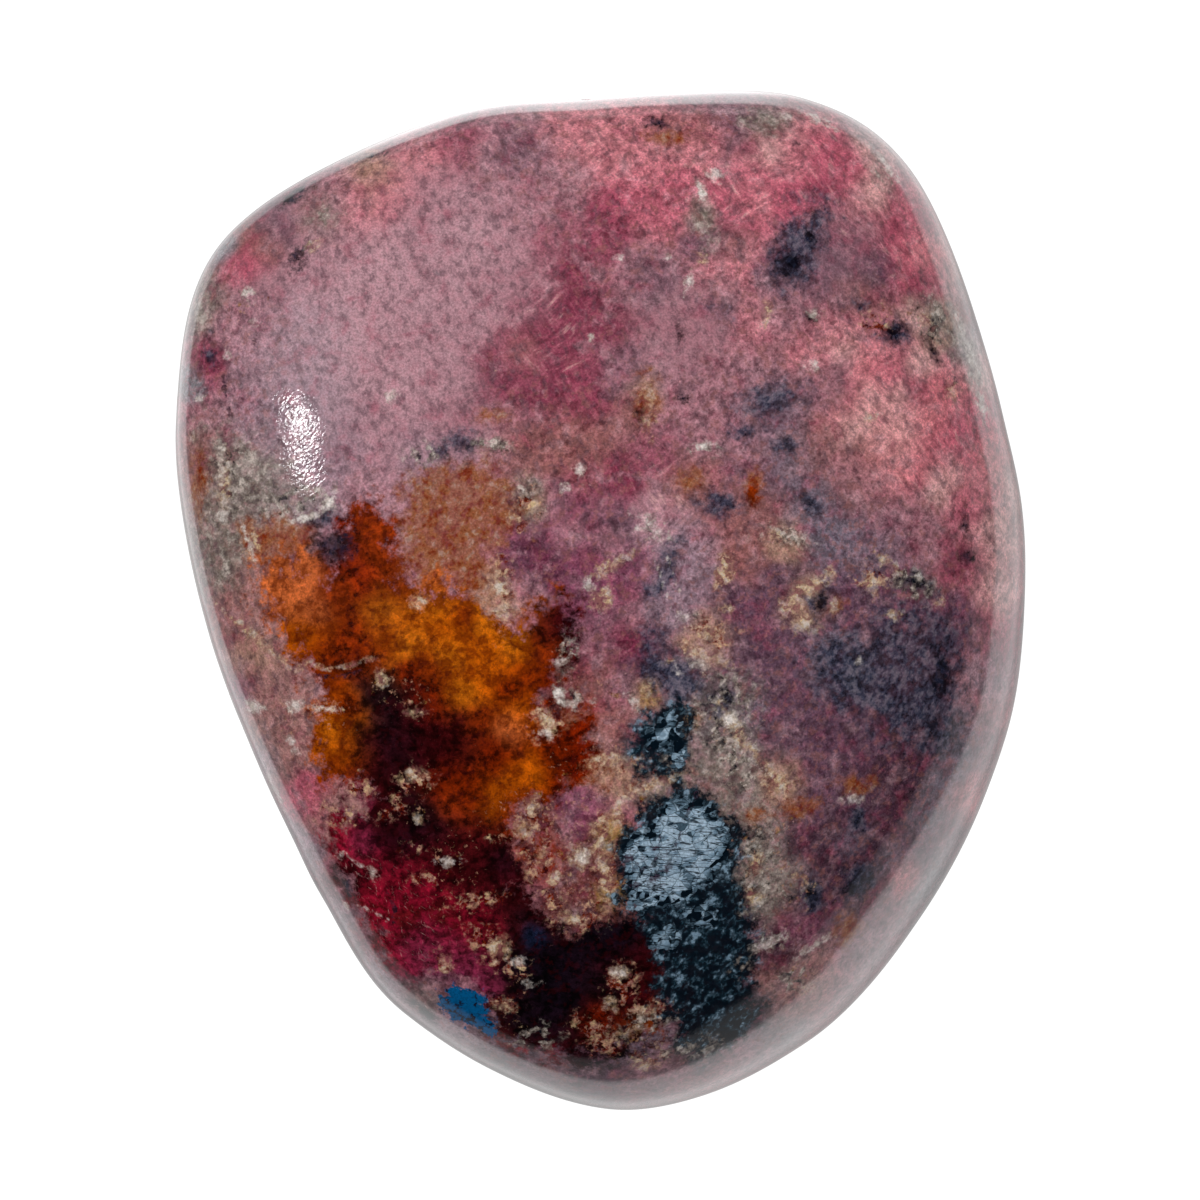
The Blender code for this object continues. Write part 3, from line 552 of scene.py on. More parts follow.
@dataclass
class StoneForm:
    """The stone's form in millimetres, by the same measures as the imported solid."""

    thickness: float = 40.0
    outline: tuple[tuple[float, float], ...] = (
        (33.8, 12.3), (25.1, 35.9), (16.7, 41.3), (-1.4, 41.3), (-12.9, 39.7), (-31.3, 29.2),
        (-34.9, 14.8), (-32.2, -2.8), (-25.0, -20.2), (-22.8, -24.5), (-16.4, -33.7), (1.5, -41.9),
        (17.0, -36.4), (26.6, -25.7), (33.1, -12.0), (34.9, -0.6))
    outline_steps: int = 24
    girdle_heights: tuple[float, ...] = (19.0, 21.5, 25.0, 26.0, 25.0, 22.0, 18.0, 15.5)
    face_fullness: tuple[float, ...] = (2.9, 3.0, 4.3, 4.6, 5.2, 5.0, 3.2, 2.5)
    back_fullness: tuple[float, ...] = (2.5, 2.6, 2.8, 2.7, 2.6, 2.5, 2.4, 2.5)
    face_middle_fullness: float = 3.4
    back_middle_fullness: float = 2.2
    dome_fall: tuple[float, float] = (0.0036, 0.0024)
    dome_top: tuple[float, float] = (-2.0, 1.0)
    back_low_point: tuple[float, float] = (1.5, 2.5)
    foot_grind: float = 0.6
    back_flats: tuple[tuple[float, float, float], ...] = (
        (24.0, 52.0, 1.3), (96.0, 41.0, 1.6), (168.0, 57.0, 1.3), (238.0, 46.0, 1.2),
        (318.0, 60.0, 1.0))
    flat_blend: float = 0.8
    cuts: int = 126
    mean_radius: float = 38.0
    profile_steps: int = 400
    face_share: float = 0.64
    hand_wave: float = 0.10
    hand_wave_length: float = 8.0

    def around(self, stations: Sequence[float], angles: np.ndarray) -> np.ndarray:
        """Read the smooth periodic curve through evenly spaced stations.

        Args:
            stations: values at equal steps round the stone, counter-clockwise from +X.
            angles: where to read the curve, in radians.

        Returns:
            The curve's value at each angle.
        """
        waves = np.fft.rfft(stations) / len(stations)
        waves[1:] *= 2
        if len(stations) % 2 == 0:
            waves[-1] /= 2
        return (waves * np.exp(1j * np.multiply.outer(angles, np.arange(len(waves))))).real.sum(axis=-1)

    def outline_radius(self, angles: np.ndarray) -> np.ndarray:
        """Measure from the middle to the outline, a closed Catmull-Rom curve.

        Args:
            angles: directions in radians, counter-clockwise from +X.

        Returns:
            The distance at each angle.
        """
        points = np.array(self.outline)
        steps = np.linspace(0.0, 1.0, self.outline_steps, endpoint=False)[:, None]
        traced = []
        for index in range(len(points)):
            before, start, end, after = (points[(index + shift) % len(points)] for shift in (-1, 0, 1, 2))
            gap_in, gap, gap_out = (math.sqrt(math.dist(one, two))
                                    for one, two in ((before, start), (start, end), (end, after)))
            run = end - start
            leave = run + gap * ((start - before) / gap_in - (end - before) / (gap_in + gap))
            arrive = run + gap * ((after - end) / gap_out - (after - start) / (gap + gap_out))
            traced.append(start + leave * steps + (3.0 * run - 2.0 * leave - arrive) * steps ** 2
                          + (leave + arrive - 2.0 * run) * steps ** 3)
        x, y = np.concatenate(traced).T
        return np.interp(angles, np.arctan2(y, x), np.hypot(x, y), period=2.0 * math.pi)

    def pebble(self, angles: np.ndarray, across: np.ndarray, up: np.ndarray) -> np.ndarray:
        """Push directions out to the stone before its worn flats.

        Args:
            angles: compass angle of each direction, in radians.
            across: horizontal part of each unit direction.
            up: vertical part of each unit direction.

        Returns:
            One point for each direction.
        """
        on_face = up >= 0
        rim = np.where(on_face, self.around(self.face_fullness, angles),
                       self.around(self.back_fullness, angles))
        middle = np.where(on_face, self.face_middle_fullness, self.back_middle_fullness)
        fullness = middle + (rim - middle) * across ** 2
        scale = (across ** fullness + np.abs(up) ** fullness) ** (1 / fullness)
        rise = np.abs(up) / scale
        radius = self.outline_radius(angles) * across / scale
        x = radius * np.cos(angles)
        y = radius * np.sin(angles)
        dome = (self.thickness - self.dome_fall[0] * (x - self.dome_top[0]) ** 2
                - self.dome_fall[1] * (y - self.dome_top[1]) ** 2)
        girdle = self.around(self.girdle_heights, angles)
        z = np.where(on_face, girdle + (dome - girdle) * rise,
                     girdle - (girdle + self.foot_grind) * rise)
        lean = np.where(on_face, 0.0, rise ** 2)
        return np.column_stack((x + self.back_low_point[0] * lean, y + self.back_low_point[1] * lean, z))

    def wear_flats(self, points: np.ndarray) -> np.ndarray:
        """Press points back onto the broad worn flats of the back, each with a soft edge.

        Args:
            points: points of the unworn stone.

        Returns:
            The worn points.
        """
        for compass, tilt, depth in self.back_flats:
            level = math.cos(math.radians(tilt))
            normal = np.array((math.cos(math.radians(compass)) * level,
                               math.sin(math.radians(compass)) * level, -math.sin(math.radians(tilt))))
            reach = points @ normal
            beyond = reach - (reach.max() - depth)
            lost = self.flat_blend * np.logaddexp(0.0, beyond / self.flat_blend)
            points = points - np.outer(lost, normal)
        return points

    def spread(self, up: np.ndarray) -> tuple[np.ndarray, np.ndarray]:
        """Spread directions so that the mesh is even along the profile and finer on the face.

        Args:
            up: vertical part of evenly spread unit directions.

        Returns:
            The horizontal and the vertical part of the new directions.
        """
        swing = np.linspace(0.0, math.pi / 2, self.profile_steps)
        fullness = self.face_middle_fullness
        scale = (np.sin(swing) ** fullness + np.cos(swing) ** fullness) ** (1 / fullness)
        outward = self.mean_radius * np.sin(swing) / scale
        height = self.thickness / 2 * np.cos(swing) / scale
        rings = np.hypot(np.diff(outward), np.diff(height)) * (outward[1:] + outward[:-1])
        area = np.concatenate(((0.0,), np.cumsum(rings)))
        area /= area[-1]
        share = (1.0 - up) / 2.0
        on_face = share < self.face_share
        part = np.where(on_face, share / self.face_share, (1.0 - share) / (1.0 - self.face_share))
        turned = np.interp(part, area, swing)
        return np.sin(turned), np.where(on_face, 1.0, -1.0) * np.cos(turned)


@dataclass
class BakeLayout:
    """Where the face and the back lie in the stone's UV map."""

    face_middle: tuple[float, float] = (0.30, 0.5)
    back_middle: tuple[float, float] = (0.79, 0.5)
    face_scale: float = 0.0081
    back_scale: float = 0.0054

    def place(self, angles: np.ndarray, swing: np.ndarray, radius: np.ndarray,
              facing: bool) -> np.ndarray:
        """Lay directions out flat, seen from above or from below.

        Args:
            angles: compass angles, in radians.
            swing: angle from straight up, in radians.
            radius: outline radius at each angle, in millimetres.
            facing: True for the face's island.

        Returns:
            UV coordinates.
        """
        middle = self.face_middle if facing else self.back_middle
        scale = self.face_scale if facing else self.back_scale
        away = (swing if facing else math.pi - swing) / (math.pi / 2) * radius * scale
        side = 1.0 if facing else -1.0
        return np.column_stack((middle[0] + side * np.cos(angles) * away,
                                middle[1] + np.sin(angles) * away))


class Bench:
    """Places nodes in one shader tree and wires them."""

    def __init__(self, tree: bpy.types.NodeTree) -> None:
        """Work on this tree."""
        self.tree = tree

    def put(self, kind: str, inputs: dict[str | int, Wire] | None = None,
            **settings: object) -> bpy.types.Node:
        """Place a node.

        Args:
            kind: the node's type name.
            inputs: what each socket gets, by name or number: another socket or a value.
            settings: the node's own properties.

        Returns:
            The node.
        """
        node = self.tree.nodes.new(kind)
        for name, value in settings.items():
            setattr(node, name, value)
        for name, value in (inputs or {}).items():
            if isinstance(value, bpy.types.NodeSocket):
                self.tree.links.new(value, node.inputs[name])
            else:
                node.inputs[name].default_value = value
        return node

    def math(self, operation: str, one: Wire, two: Wire = 0.0, clamp: bool = False) -> Wire:
        """Wire one sum and return its output."""
        return self.put("ShaderNodeMath", {0: one, 1: two}, operation=operation,
                        use_clamp=clamp).outputs[0]

    def noise(self, where: Wire, scale: float, detail: float = 2.0, rough: float = 0.55,
              twist: float = 0.0) -> Wire:
        """Wire a noise of so many lumps a millimetre and return its value."""
        return self.put("ShaderNodeTexNoise", {"Vector": where, "Scale": scale, "Detail": detail,
                                               "Roughness": rough, "Distortion": twist}).outputs[0]

    def ease(self, value: Wire, low: Wire, high: Wire, start: Wire = 0.0, end: Wire = 1.0) -> Wire:
        """Wire a smooth step between two values and return its output."""
        return self.put("ShaderNodeMapRange", {"Value": value, "From Min": low, "From Max": high,
                                               "To Min": start, "To Max": end},
                        interpolation_type="SMOOTHSTEP").outputs[0]

    def blend(self, share: Wire, under: Wire, over: Wire, how: str = "MIX") -> Wire:
        """Wire a colour mix and return its output."""
        return self.put("ShaderNodeMix", {0: share, 6: under, 7: over}, data_type="RGBA",
                        blend_type=how, clamp_factor=True).outputs[2]

    def lay(self, where: Wire, turn: float, stretch: tuple[float, float, float],
            shift: tuple[float, float, float] = (0.0, 0.0, 0.0)) -> Wire:
        """Wire a pattern's turn, in degrees about Z, and its stretch, and return the vector."""
        turned = self.put("ShaderNodeVectorRotate", {"Vector": where, "Angle": math.radians(turn)},
                          rotation_type="Z_AXIS").outputs[0]
        return self.put("ShaderNodeMapping", {"Vector": turned, "Scale": stretch,
                                              "Location": shift}).outputs[0]

    def attribute(self, name: str) -> bpy.types.Node:
        """Place a reader of one of the mesh's attributes."""
        return self.put("ShaderNodeAttribute", attribute_type="GEOMETRY", attribute_name=name)

    def group(self, tree: bpy.types.NodeTree, inputs: dict[str | int, Wire]) -> bpy.types.Node:
        """Place a node group and wire its inputs."""
        return self.put("ShaderNodeGroup", inputs, node_tree=tree)

    def times(self, one: Wire, two: Wire) -> Wire:
        """Wire a product and return its output."""
        return self.math("MULTIPLY", one, two)

    def plus(self, one: Wire, two: Wire) -> Wire:
        """Wire an addition and return its output."""
        return self.math("ADD", one, two)

    def vector(self, operation: str, inputs: dict[str | int, Wire], output: int | str = 0) -> Wire:
        """Wire one sum of vectors and return its output."""
        return self.put("ShaderNodeVectorMath", inputs, operation=operation).outputs[output]

    def choose(self, share: Wire, low: Wire, high: Wire) -> Wire:
        """Wire a value between two others and return its output."""
        return self.put("ShaderNodeMix", {0: share, 2: low, 3: high}).outputs[0]

    def first(self, colour: Wire) -> Wire:
        """Wire the split of a colour and return its first part."""
        return self.put("ShaderNodeSeparateColor", {0: colour}).outputs[0]

    def cells(self, where: Wire, scale: float = 1.0, feature: str = "F1") -> bpy.types.Node:
        """Place a pattern of angular cells."""
        return self.put("ShaderNodeTexVoronoi", {"Vector": where, "Scale": scale, "Randomness": 1.0},
                        feature=feature)


def open_group(name: str, inputs: dict[str, str],
               outputs: dict[str, str]) -> tuple[Bench, bpy.types.Node, bpy.types.Node]:
    """Start a shader node group with named sockets.

    Args:
        name: the group's name.
        inputs: socket type by input name.
        outputs: socket type by output name.

    Returns:
        The bench for the group, its input node and its output node.
    """
    tree = bpy.data.node_groups.new(name, "ShaderNodeTree")
    for way, sockets in (("INPUT", inputs), ("OUTPUT", outputs)):
        for label, kind in sockets.items():
            tree.interface.new_socket(name=label, in_out=way, socket_type=kind)
    bench = Bench(tree)
    return bench, bench.put("NodeGroupInput"), bench.put("NodeGroupOutput")


EVEN = (1.0, 1.0, 1.0)
FLOAT = "NodeSocketFloat"
VECTOR = "NodeSocketVector"
COLOUR = "NodeSocketColor"


def ragged_edge_group() -> bpy.types.NodeTree:
    """Build the group that turns a mineral's map into a mask with a ragged, broken edge."""
    bench, given, result = open_group(
        "ragged_edge", {"Map": FLOAT, "Wander": FLOAT, "Softness": FLOAT, "Lumps": FLOAT, "Broken": FLOAT},
        {"Mask": FLOAT})
    moved = bench.plus(given.outputs["Map"], given.outputs["Wander"])
    mask = bench.ease(moved, bench.times(given.outputs["Softness"], -1.0),
                      given.outputs["Softness"])
    whole = bench.math("SUBTRACT", 1.0, given.outputs["Broken"])
    left = bench.ease(given.outputs["Lumps"], 0.47, 0.56, whole, 1.0)
    bench.tree.links.new(bench.times(mask, left), result.inputs["Mask"])
    return bench.tree


def fibre_group() -> bpy.types.NodeTree:
    """Build the group for the fine fibrous grain that runs two ways through the stone."""
    bench, given, result = open_group("fibrous_grain", {"Vector": VECTOR},
                                      {"Grain": FLOAT, "Streaks": FLOAT})
    where = given.outputs["Vector"]
    bends = bench.put("ShaderNodeTexNoise", {"Vector": where, "Scale": 0.12, "Detail": 2.0})
    bent = bench.vector("SCALE", {0: bends.outputs["Color"], 3: 3.0})
    where = bench.vector("ADD", {0: where, 1: bent})
    falling = bench.noise(bench.lay(where, 55.0, (2.4, 0.45, 1.2)), 1.0, 3.0, 0.62)
    rising = bench.noise(bench.lay(where, -40.0, (2.1, 0.40, 1.2), (9.0, 3.0, 1.0)), 1.0, 3.0, 0.62)
    sides = bench.ease(bench.noise(where, 0.22, 1.0), 0.44, 0.56)
    grain = bench.choose(sides, falling, rising)
    bench.tree.links.new(grain, result.inputs["Grain"])
    bench.tree.links.new(bench.ease(grain, 0.55, 0.76), result.inputs["Streaks"])
    return bench.tree


def fleck_group() -> bpy.types.NodeTree:
    """Build the group for small scattered flecks of one size, thick or thin on the ground."""
    bench, given, result = open_group(
        "flecks", {"Vector": VECTOR, "Scale": FLOAT, "Amount": FLOAT, "Blur": FLOAT}, {"Mask": FLOAT})
    lumps = bench.put("ShaderNodeTexNoise", {"Vector": given.outputs["Vector"], "Detail": 3.0,
                                             "Roughness": 0.6, "Distortion": 0.1,
                                             "Scale": given.outputs["Scale"]}).outputs[0]
    level = bench.math("SUBTRACT", 0.78, bench.times(given.outputs["Amount"], 0.34))
    mask = bench.ease(lumps, level, bench.plus(level, given.outputs["Blur"]))
    bench.tree.links.new(mask, result.inputs["Mask"])
    return bench.tree


def thread_group() -> bpy.types.NodeTree:
    """Build the group for thin broken threads, such as healed cracks."""
    bench, given, result = open_group("threads", {"Vector": VECTOR}, {"Mask": FLOAT})
    where = given.outputs["Vector"]
    fall = bench.noise(bench.lay(where, 32.0, (0.9, 4.6, 2.0)), 1.0, 3.0, 0.6, 0.2)
    steep = bench.noise(bench.lay(where, 78.0, (1.1, 5.0, 2.0), (5.0, 8.0, 2.0)), 1.0, 3.0, 0.6, 0.2)
    mask = bench.ease(bench.math("MAXIMUM", fall, steep), 0.62, 0.72)
    bench.tree.links.new(mask, result.inputs["Mask"])
    return bench.tree


def grains_group() -> bpy.types.NodeTree:
    """Build the group that gives each small lump a value of its own, from 0 to 1."""
    bench, given, result = open_group("grains", {"Vector": VECTOR, "Bent": VECTOR},
                                      {"Value": FLOAT, "Angular": FLOAT})
    where = given.outputs["Vector"]
    large = bench.noise(bench.lay(where, 25.0, EVEN, (2.0, 6.0, 1.0)), 0.8, 2.0, 0.6)
    small = bench.noise(bench.lay(where, -50.0, (1.0, 1.2, 1.0), (7.0, 5.0, 4.0)), 1.9, 3.0, 0.62)
    mixed = bench.plus(bench.times(large, 0.45), bench.times(small, 0.55))
    bench.tree.links.new(bench.ease(mixed, 0.37, 0.63), result.inputs["Value"])
    cells = bench.cells(bench.lay(given.outputs["Bent"], 20.0, (1.0, 1.3, 1.0), (3.0, 4.0, 5.0)), 1.9)
    own = bench.first(cells.outputs["Color"])
    angular = bench.plus(bench.times(own, 0.42), bench.times(bench.ease(mixed, 0.37, 0.63), 0.58))
    bench.tree.links.new(bench.ease(angular, 0.12, 0.88), result.inputs["Angular"])
    return bench.tree


@dataclass
class MineralPattern:
    """The stone's colour, gloss and fine relief, built once as a group and used by each finish."""

    edge: bpy.types.NodeTree = field(default_factory=ragged_edge_group)
    fibre: bpy.types.NodeTree = field(default_factory=fibre_group)
    fleck: bpy.types.NodeTree = field(default_factory=fleck_group)
    thread: bpy.types.NodeTree = field(default_factory=thread_group)
    grains: bpy.types.NodeTree = field(default_factory=grains_group)

    def flecks(self, bench: Bench, where: Wire, scale: float, amount: Wire, blur: float = 0.09) -> Wire:
        """Wire a scatter of flecks and return its mask."""
        return bench.group(self.fleck, {"Vector": where, "Scale": scale, "Amount": amount,
                                        "Blur": blur}).outputs["Mask"]

    def threads(self, bench: Bench, where: Wire) -> Wire:
        """Wire broken threads and return their mask."""
        return bench.group(self.thread, {"Vector": where}).outputs["Mask"]

    def shade(self, bench: Bench, colour: Wire, value: Wire) -> Wire:
        """Wire a colour made lighter or darker by a value and return it."""
        grey = bench.put("ShaderNodeCombineColor", {0: value, 1: value, 2: value}).outputs[0]
        return bench.blend(1.0, colour, grey, "MULTIPLY")

    def ramp(self, bench: Bench, value: Wire, stops: Sequence[tuple[float, Hue]]) -> Wire:
        """Wire a run of colours over a value and return its colour."""
        node = bench.put("ShaderNodeValToRGB", {0: value})
        band = node.color_ramp.elements
        while len(band) < len(stops):
            band.new(0.5)
        for element, (place, hue) in zip(band, stops):
            element.position = place
            element.color = hue.value
        return node.outputs[0]

    def strength(self, bench: Bench, texture: Texture, least: float, most: float) -> Wire:
        """Wire how strong a fine texture is, from its map."""
        return bench.ease(bench.attribute(texture.value).outputs["Fac"], 0.0, 1.0, least, most)

    def ground(self, bench: Bench, where: Wire, fibres: bpy.types.Node, mid: Wire, value: Wire) -> Wire:
        """Colour the rose ground: broad tints, mottling, fibres and pepper.

        Args:
            bench: the group's bench.
            where: position in millimetres.
            fibres: the fibrous grain, about 0.5 on average, and its brightest streaks.
            mid: lumps of about a millimetre, 0.5 on average.
            value: the grains' own values.

        Returns:
            The ground's colour.
        """
        grain, streaks = fibres.outputs["Grain"], fibres.outputs["Streaks"]
        colour = bench.attribute("ground").outputs["Color"]
        clouds = bench.noise(bench.lay(where, 10.0, EVEN, (4.0, 9.0, 2.0)), 0.55, 6.0, 0.64, 0.3)
        colour = bench.blend(bench.ease(clouds, 0.50, 0.72, 0.0, 0.50), colour, Hue.PALE_MAUVE.value)
        colour = bench.blend(bench.ease(clouds, 0.50, 0.30, 0.0, 0.55), colour, Hue.CRIMSON.value)
        blots = bench.noise(bench.lay(where, 70.0, (1.0, 1.3, 1.0), (14.0, 2.0, 7.0)), 1.1, 5.0, 0.64, 0.2)
        colour = bench.blend(bench.ease(blots, 0.52, 0.32, 0.0, 0.50), colour, Hue.DIM_DUSK.value)
        colour = self.shade(bench, colour, bench.ease(blots, 0.32, 0.68, 0.80, 1.36))
        colour = bench.blend(bench.ease(blots, 0.50, 0.66, 0.0, 0.35), colour, Hue.ROSE.value)
        lively = bench.times(self.strength(bench, Texture.PEPPER, 1.0, 0.1),
                             self.strength(bench, Texture.FIBRES, 1.0, 0.4))
        brown = bench.times(bench.ease(mid, 0.52, 0.64, 0.0, 0.55), lively)
        colour = bench.blend(brown, colour, Hue.BROWN_ROSE.value)
        dark = bench.times(bench.ease(mid, 0.48, 0.36, 0.0, 0.46), lively)
        colour = bench.blend(dark, colour, Hue.MAGENTA.value, "MULTIPLY")
        lump = bench.ease(value, 0.0, 1.0, bench.math("SUBTRACT", 1.0, bench.times(lively, 0.22)),
                          bench.plus(1.0, bench.times(lively, 0.24)))
        colour = self.shade(bench, colour, lump)
        fibrous = self.strength(bench, Texture.FIBRES, 0.10, 1.0)
        dim = bench.choose(fibrous, 1.0, bench.ease(grain, 0.34, 0.66, 0.74, 1.24))
        colour = self.shade(bench, colour, dim)
        colour = bench.blend(bench.times(bench.times(streaks, 0.60), fibrous), colour, Hue.BLUSH.value)
        pepper = self.flecks(bench, bench.lay(where, -40.0, (1.0, 0.7, 1.0)), 4.0,
                             self.strength(bench, Texture.PEPPER, 0.26, 0.40), 0.16)
        colour = bench.blend(bench.times(pepper, 0.24), colour, Hue.PLUM.value)
        grit = self.flecks(bench, bench.lay(where, 20.0, EVEN, (31.0, 7.0, 3.0)), 3.6,
                           self.strength(bench, Texture.PEPPER, 0.38, 0.50), 0.14)
        colour = bench.blend(bench.times(grit, 0.28), colour, Hue.WINE.value)
        light = self.flecks(bench, bench.lay(where, 50.0, EVEN, (9.0, 27.0, 13.0)), 2.2,
                            self.strength(bench, Texture.SPARKS, 0.34, 0.52), 0.14)
        return bench.blend(bench.times(light, 0.45), colour, Hue.BLUSH.value)

    def build(self) -> bpy.types.NodeTree:
        """Build the whole pattern.

        Returns:
            A group with the outputs Color, Gloss Loss and Height.
        """
        bench, _, result = open_group(
            "mineral_pattern", {}, {"Color": COLOUR, "Gloss Loss": FLOAT, "Height": FLOAT})
        local = bench.put("ShaderNodeTexCoord").outputs["Object"]
        where = bench.vector("SCALE", {0: local, 3: 1.0 / MM})
        bends = bench.put("ShaderNodeTexNoise", {"Vector": where, "Scale": 1.2, "Detail": 4.0})
        bent = bench.vector("ADD", {0: where, 1: bench.vector("SCALE", {0: bends.outputs["Color"], 3: 0.4})})
        fibres = bench.group(self.fibre, {"Vector": where})
        broad = bench.noise(where, 0.45, 6.0, 0.68, 0.35)
        other = bench.noise(bench.lay(where, 35.0, EVEN, (50.0, 20.0, 5.0)), 0.7, 5.0, 0.66, 0.2)
        mid = bench.noise(bench.lay(where, -20.0, EVEN, (12.0, 60.0, 8.0)), 1.2, 4.0, 0.64, 0.2)
        fine = bench.noise(where, 3.0, 3.0, 0.62)
        gaps = bench.noise(bench.lay(where, 80.0, EVEN, (6.0, 31.0, 9.0)), 1.0, 3.0, 0.6)
        grains = bench.group(self.grains, {"Vector": where, "Bent": bent}).outputs
        value, angular = grains["Value"], grains["Angular"]

        masks: dict[Mineral, Wire] = {}
        crisp = bench.times(bench.math("SUBTRACT", fine, 0.5), 2.4)
        stray = {tight: bench.plus(crisp, bench.times(bench.math("SUBTRACT", lumps, 0.5), reach))
                 for tight, lumps, reach in ((True, mid, 5.5), (False, other, 9.0))}
        for mineral, look in LOOKS.items():
            masks[mineral] = bench.group(self.edge, {
                "Map": bench.attribute(mineral.value).outputs["Fac"], "Wander": stray[look.fine_edge],
                "Softness": look.softness, "Lumps": gaps, "Broken": look.broken}).outputs["Mask"]
        plate = bench.group(self.edge, {
            "Map": bench.attribute(Mineral.PLATE.value).outputs["Fac"], "Wander": stray[True],
            "Softness": 0.5, "Lumps": gaps, "Broken": 0.0}).outputs["Mask"]

        colour = self.ground(bench, where, fibres, mid, value)
        ore = self.ore(bench, bent, broad, mid, value)
        for mineral, look in LOOKS.items():
            lump = angular if look.fine_edge else value
            paint = self.ramp(bench, lump, look.stops) if look.stops else ore
            share = bench.times(masks[mineral], look.opacity)
            if mineral is Mineral.AZURE:
                colour = self.lay_plates(bench, where, bent, colour, plate)
            if mineral is Mineral.CREAM:
                colour = self.lay_sparks(bench, where, colour, angular)
            colour = bench.blend(share, colour, paint)
        dust = bench.noise(where, 5.5, 2.0, 0.6)
        colour = self.shade(bench, colour, bench.ease(dust, 0.32, 0.68, 0.80, 1.22))
        # Painted reflection: the steep rim of the face is greyed, more at the top, for the pale studio
        # mirrored in the polish; a broad noise thins it in patches.
        rim_reflection = bench.attribute("rim_reflection").outputs["Fac"]
        worn_mesh_or_reflection_gaps = bench.ease(other, 0.36, 0.62, 0.25, 1.0)
        colour = bench.blend(bench.times(rim_reflection, worn_mesh_or_reflection_gaps), colour, Hue.REFLECTION_GREY.value)
        pit = bench.attribute("pit").outputs["Fac"]
        # Painted shade: the pits cut by the surface wear are darkened towards dark plum.
        colour = bench.blend(bench.times(pit, 0.7), colour, Hue.DARK_PLUM.value)
        bench.tree.links.new(colour, result.inputs["Color"])

        dull = bench.plus(bench.times(masks[Mineral.CREAM], 0.15), bench.times(pit, 0.4))
        bench.tree.links.new(dull, result.inputs["Gloss Loss"])
        brushed = bench.noise(bench.lay(where, -50.0, (2.3, 4.2, 2.0), (8.0, 1.0, 2.0)), 1.0, 1.0, 0.5)
        brushed = bench.times(brushed, self.strength(bench, Texture.BRUSH, 0.4, 1.9))
        height = bench.plus(brushed, bench.times(fine, 0.5))
        height = bench.math("SUBTRACT", height, bench.times(masks[Mineral.CREAM], 0.3))
        bench.tree.links.new(height, result.inputs["Height"])
        return bench.tree

    def ore(self, bench: Bench, bent: Wire, broad: Wire, mid: Wire, value: Wire) -> Wire:
        """Colour the orange and dark minerals from their own broad tints, the dark ones less evenly."""
        colour = bench.attribute("ore").outputs["Color"]
        dark = bench.ease(bench.first(colour), 0.30, 0.12)
        colour = self.shade(bench, colour, bench.ease(broad, 0.36, 0.66, 0.72, 1.26))
        facet = bench.first(bench.cells(bench.lay(bent, 28.0, (0.42, 0.62, 0.5))).outputs["Color"])
        colour = self.shade(bench, colour, bench.ease(facet, 0.0, 1.0, 0.82, 1.20))
        red = bench.ease(bench.plus(broad, mid), 1.04, 0.84, 0.0, 0.55)
        colour = bench.blend(bench.times(red, bench.math("SUBTRACT", 1.0, dark)), colour, Hue.BURNT.value)
        uneven = bench.choose(dark, bench.ease(mid, 0.34, 0.66, 0.74, 1.22),
                              bench.ease(mid, 0.36, 0.64, 0.30, 1.80))
        colour = self.shade(bench, colour, uneven)
        return bench.blend(bench.ease(value, 0.34, 0.10, 0.0, 0.40), colour, Hue.MAROON.value)

    def lay_sparks(self, bench: Bench, where: Wire, colour: Wire, value: Wire) -> Wire:
        """Lay small cream and ochre lumps and thin pale threads over the minerals.

        Args:
            bench: the group's bench.
            where: position in millimetres.
            colour: what lies under them.
            value: the grains' own values.

        Returns:
            The colour with the lumps and threads.
        """
        many = self.strength(bench, Texture.SPARKS, 0.12, 0.56)
        lumps = self.flecks(bench, bench.lay(where, 15.0, EVEN, (3.0, 77.0, 8.0)), 1.05, many, 0.14)
        lump = self.ramp(bench, value, ((0.05, Hue.RUST), (0.30, Hue.OCHRE_YELLOW), (0.55, Hue.BROWN_ROSE),
                                        (0.80, Hue.TAN), (1.00, Hue.CREAM)))
        colour = bench.blend(bench.times(lumps, 0.80), colour, lump)
        small = self.flecks(bench, bench.lay(where, 65.0, EVEN, (23.0, 17.0, 4.0)), 2.1, many, 0.14)
        colour = bench.blend(bench.times(small, 0.60), colour, Hue.PEACH.value)
        thin = bench.times(self.threads(bench, where), self.strength(bench, Texture.THREADS, 0.0, 0.40))
        return bench.blend(thin, colour, Hue.BLUSH.value)

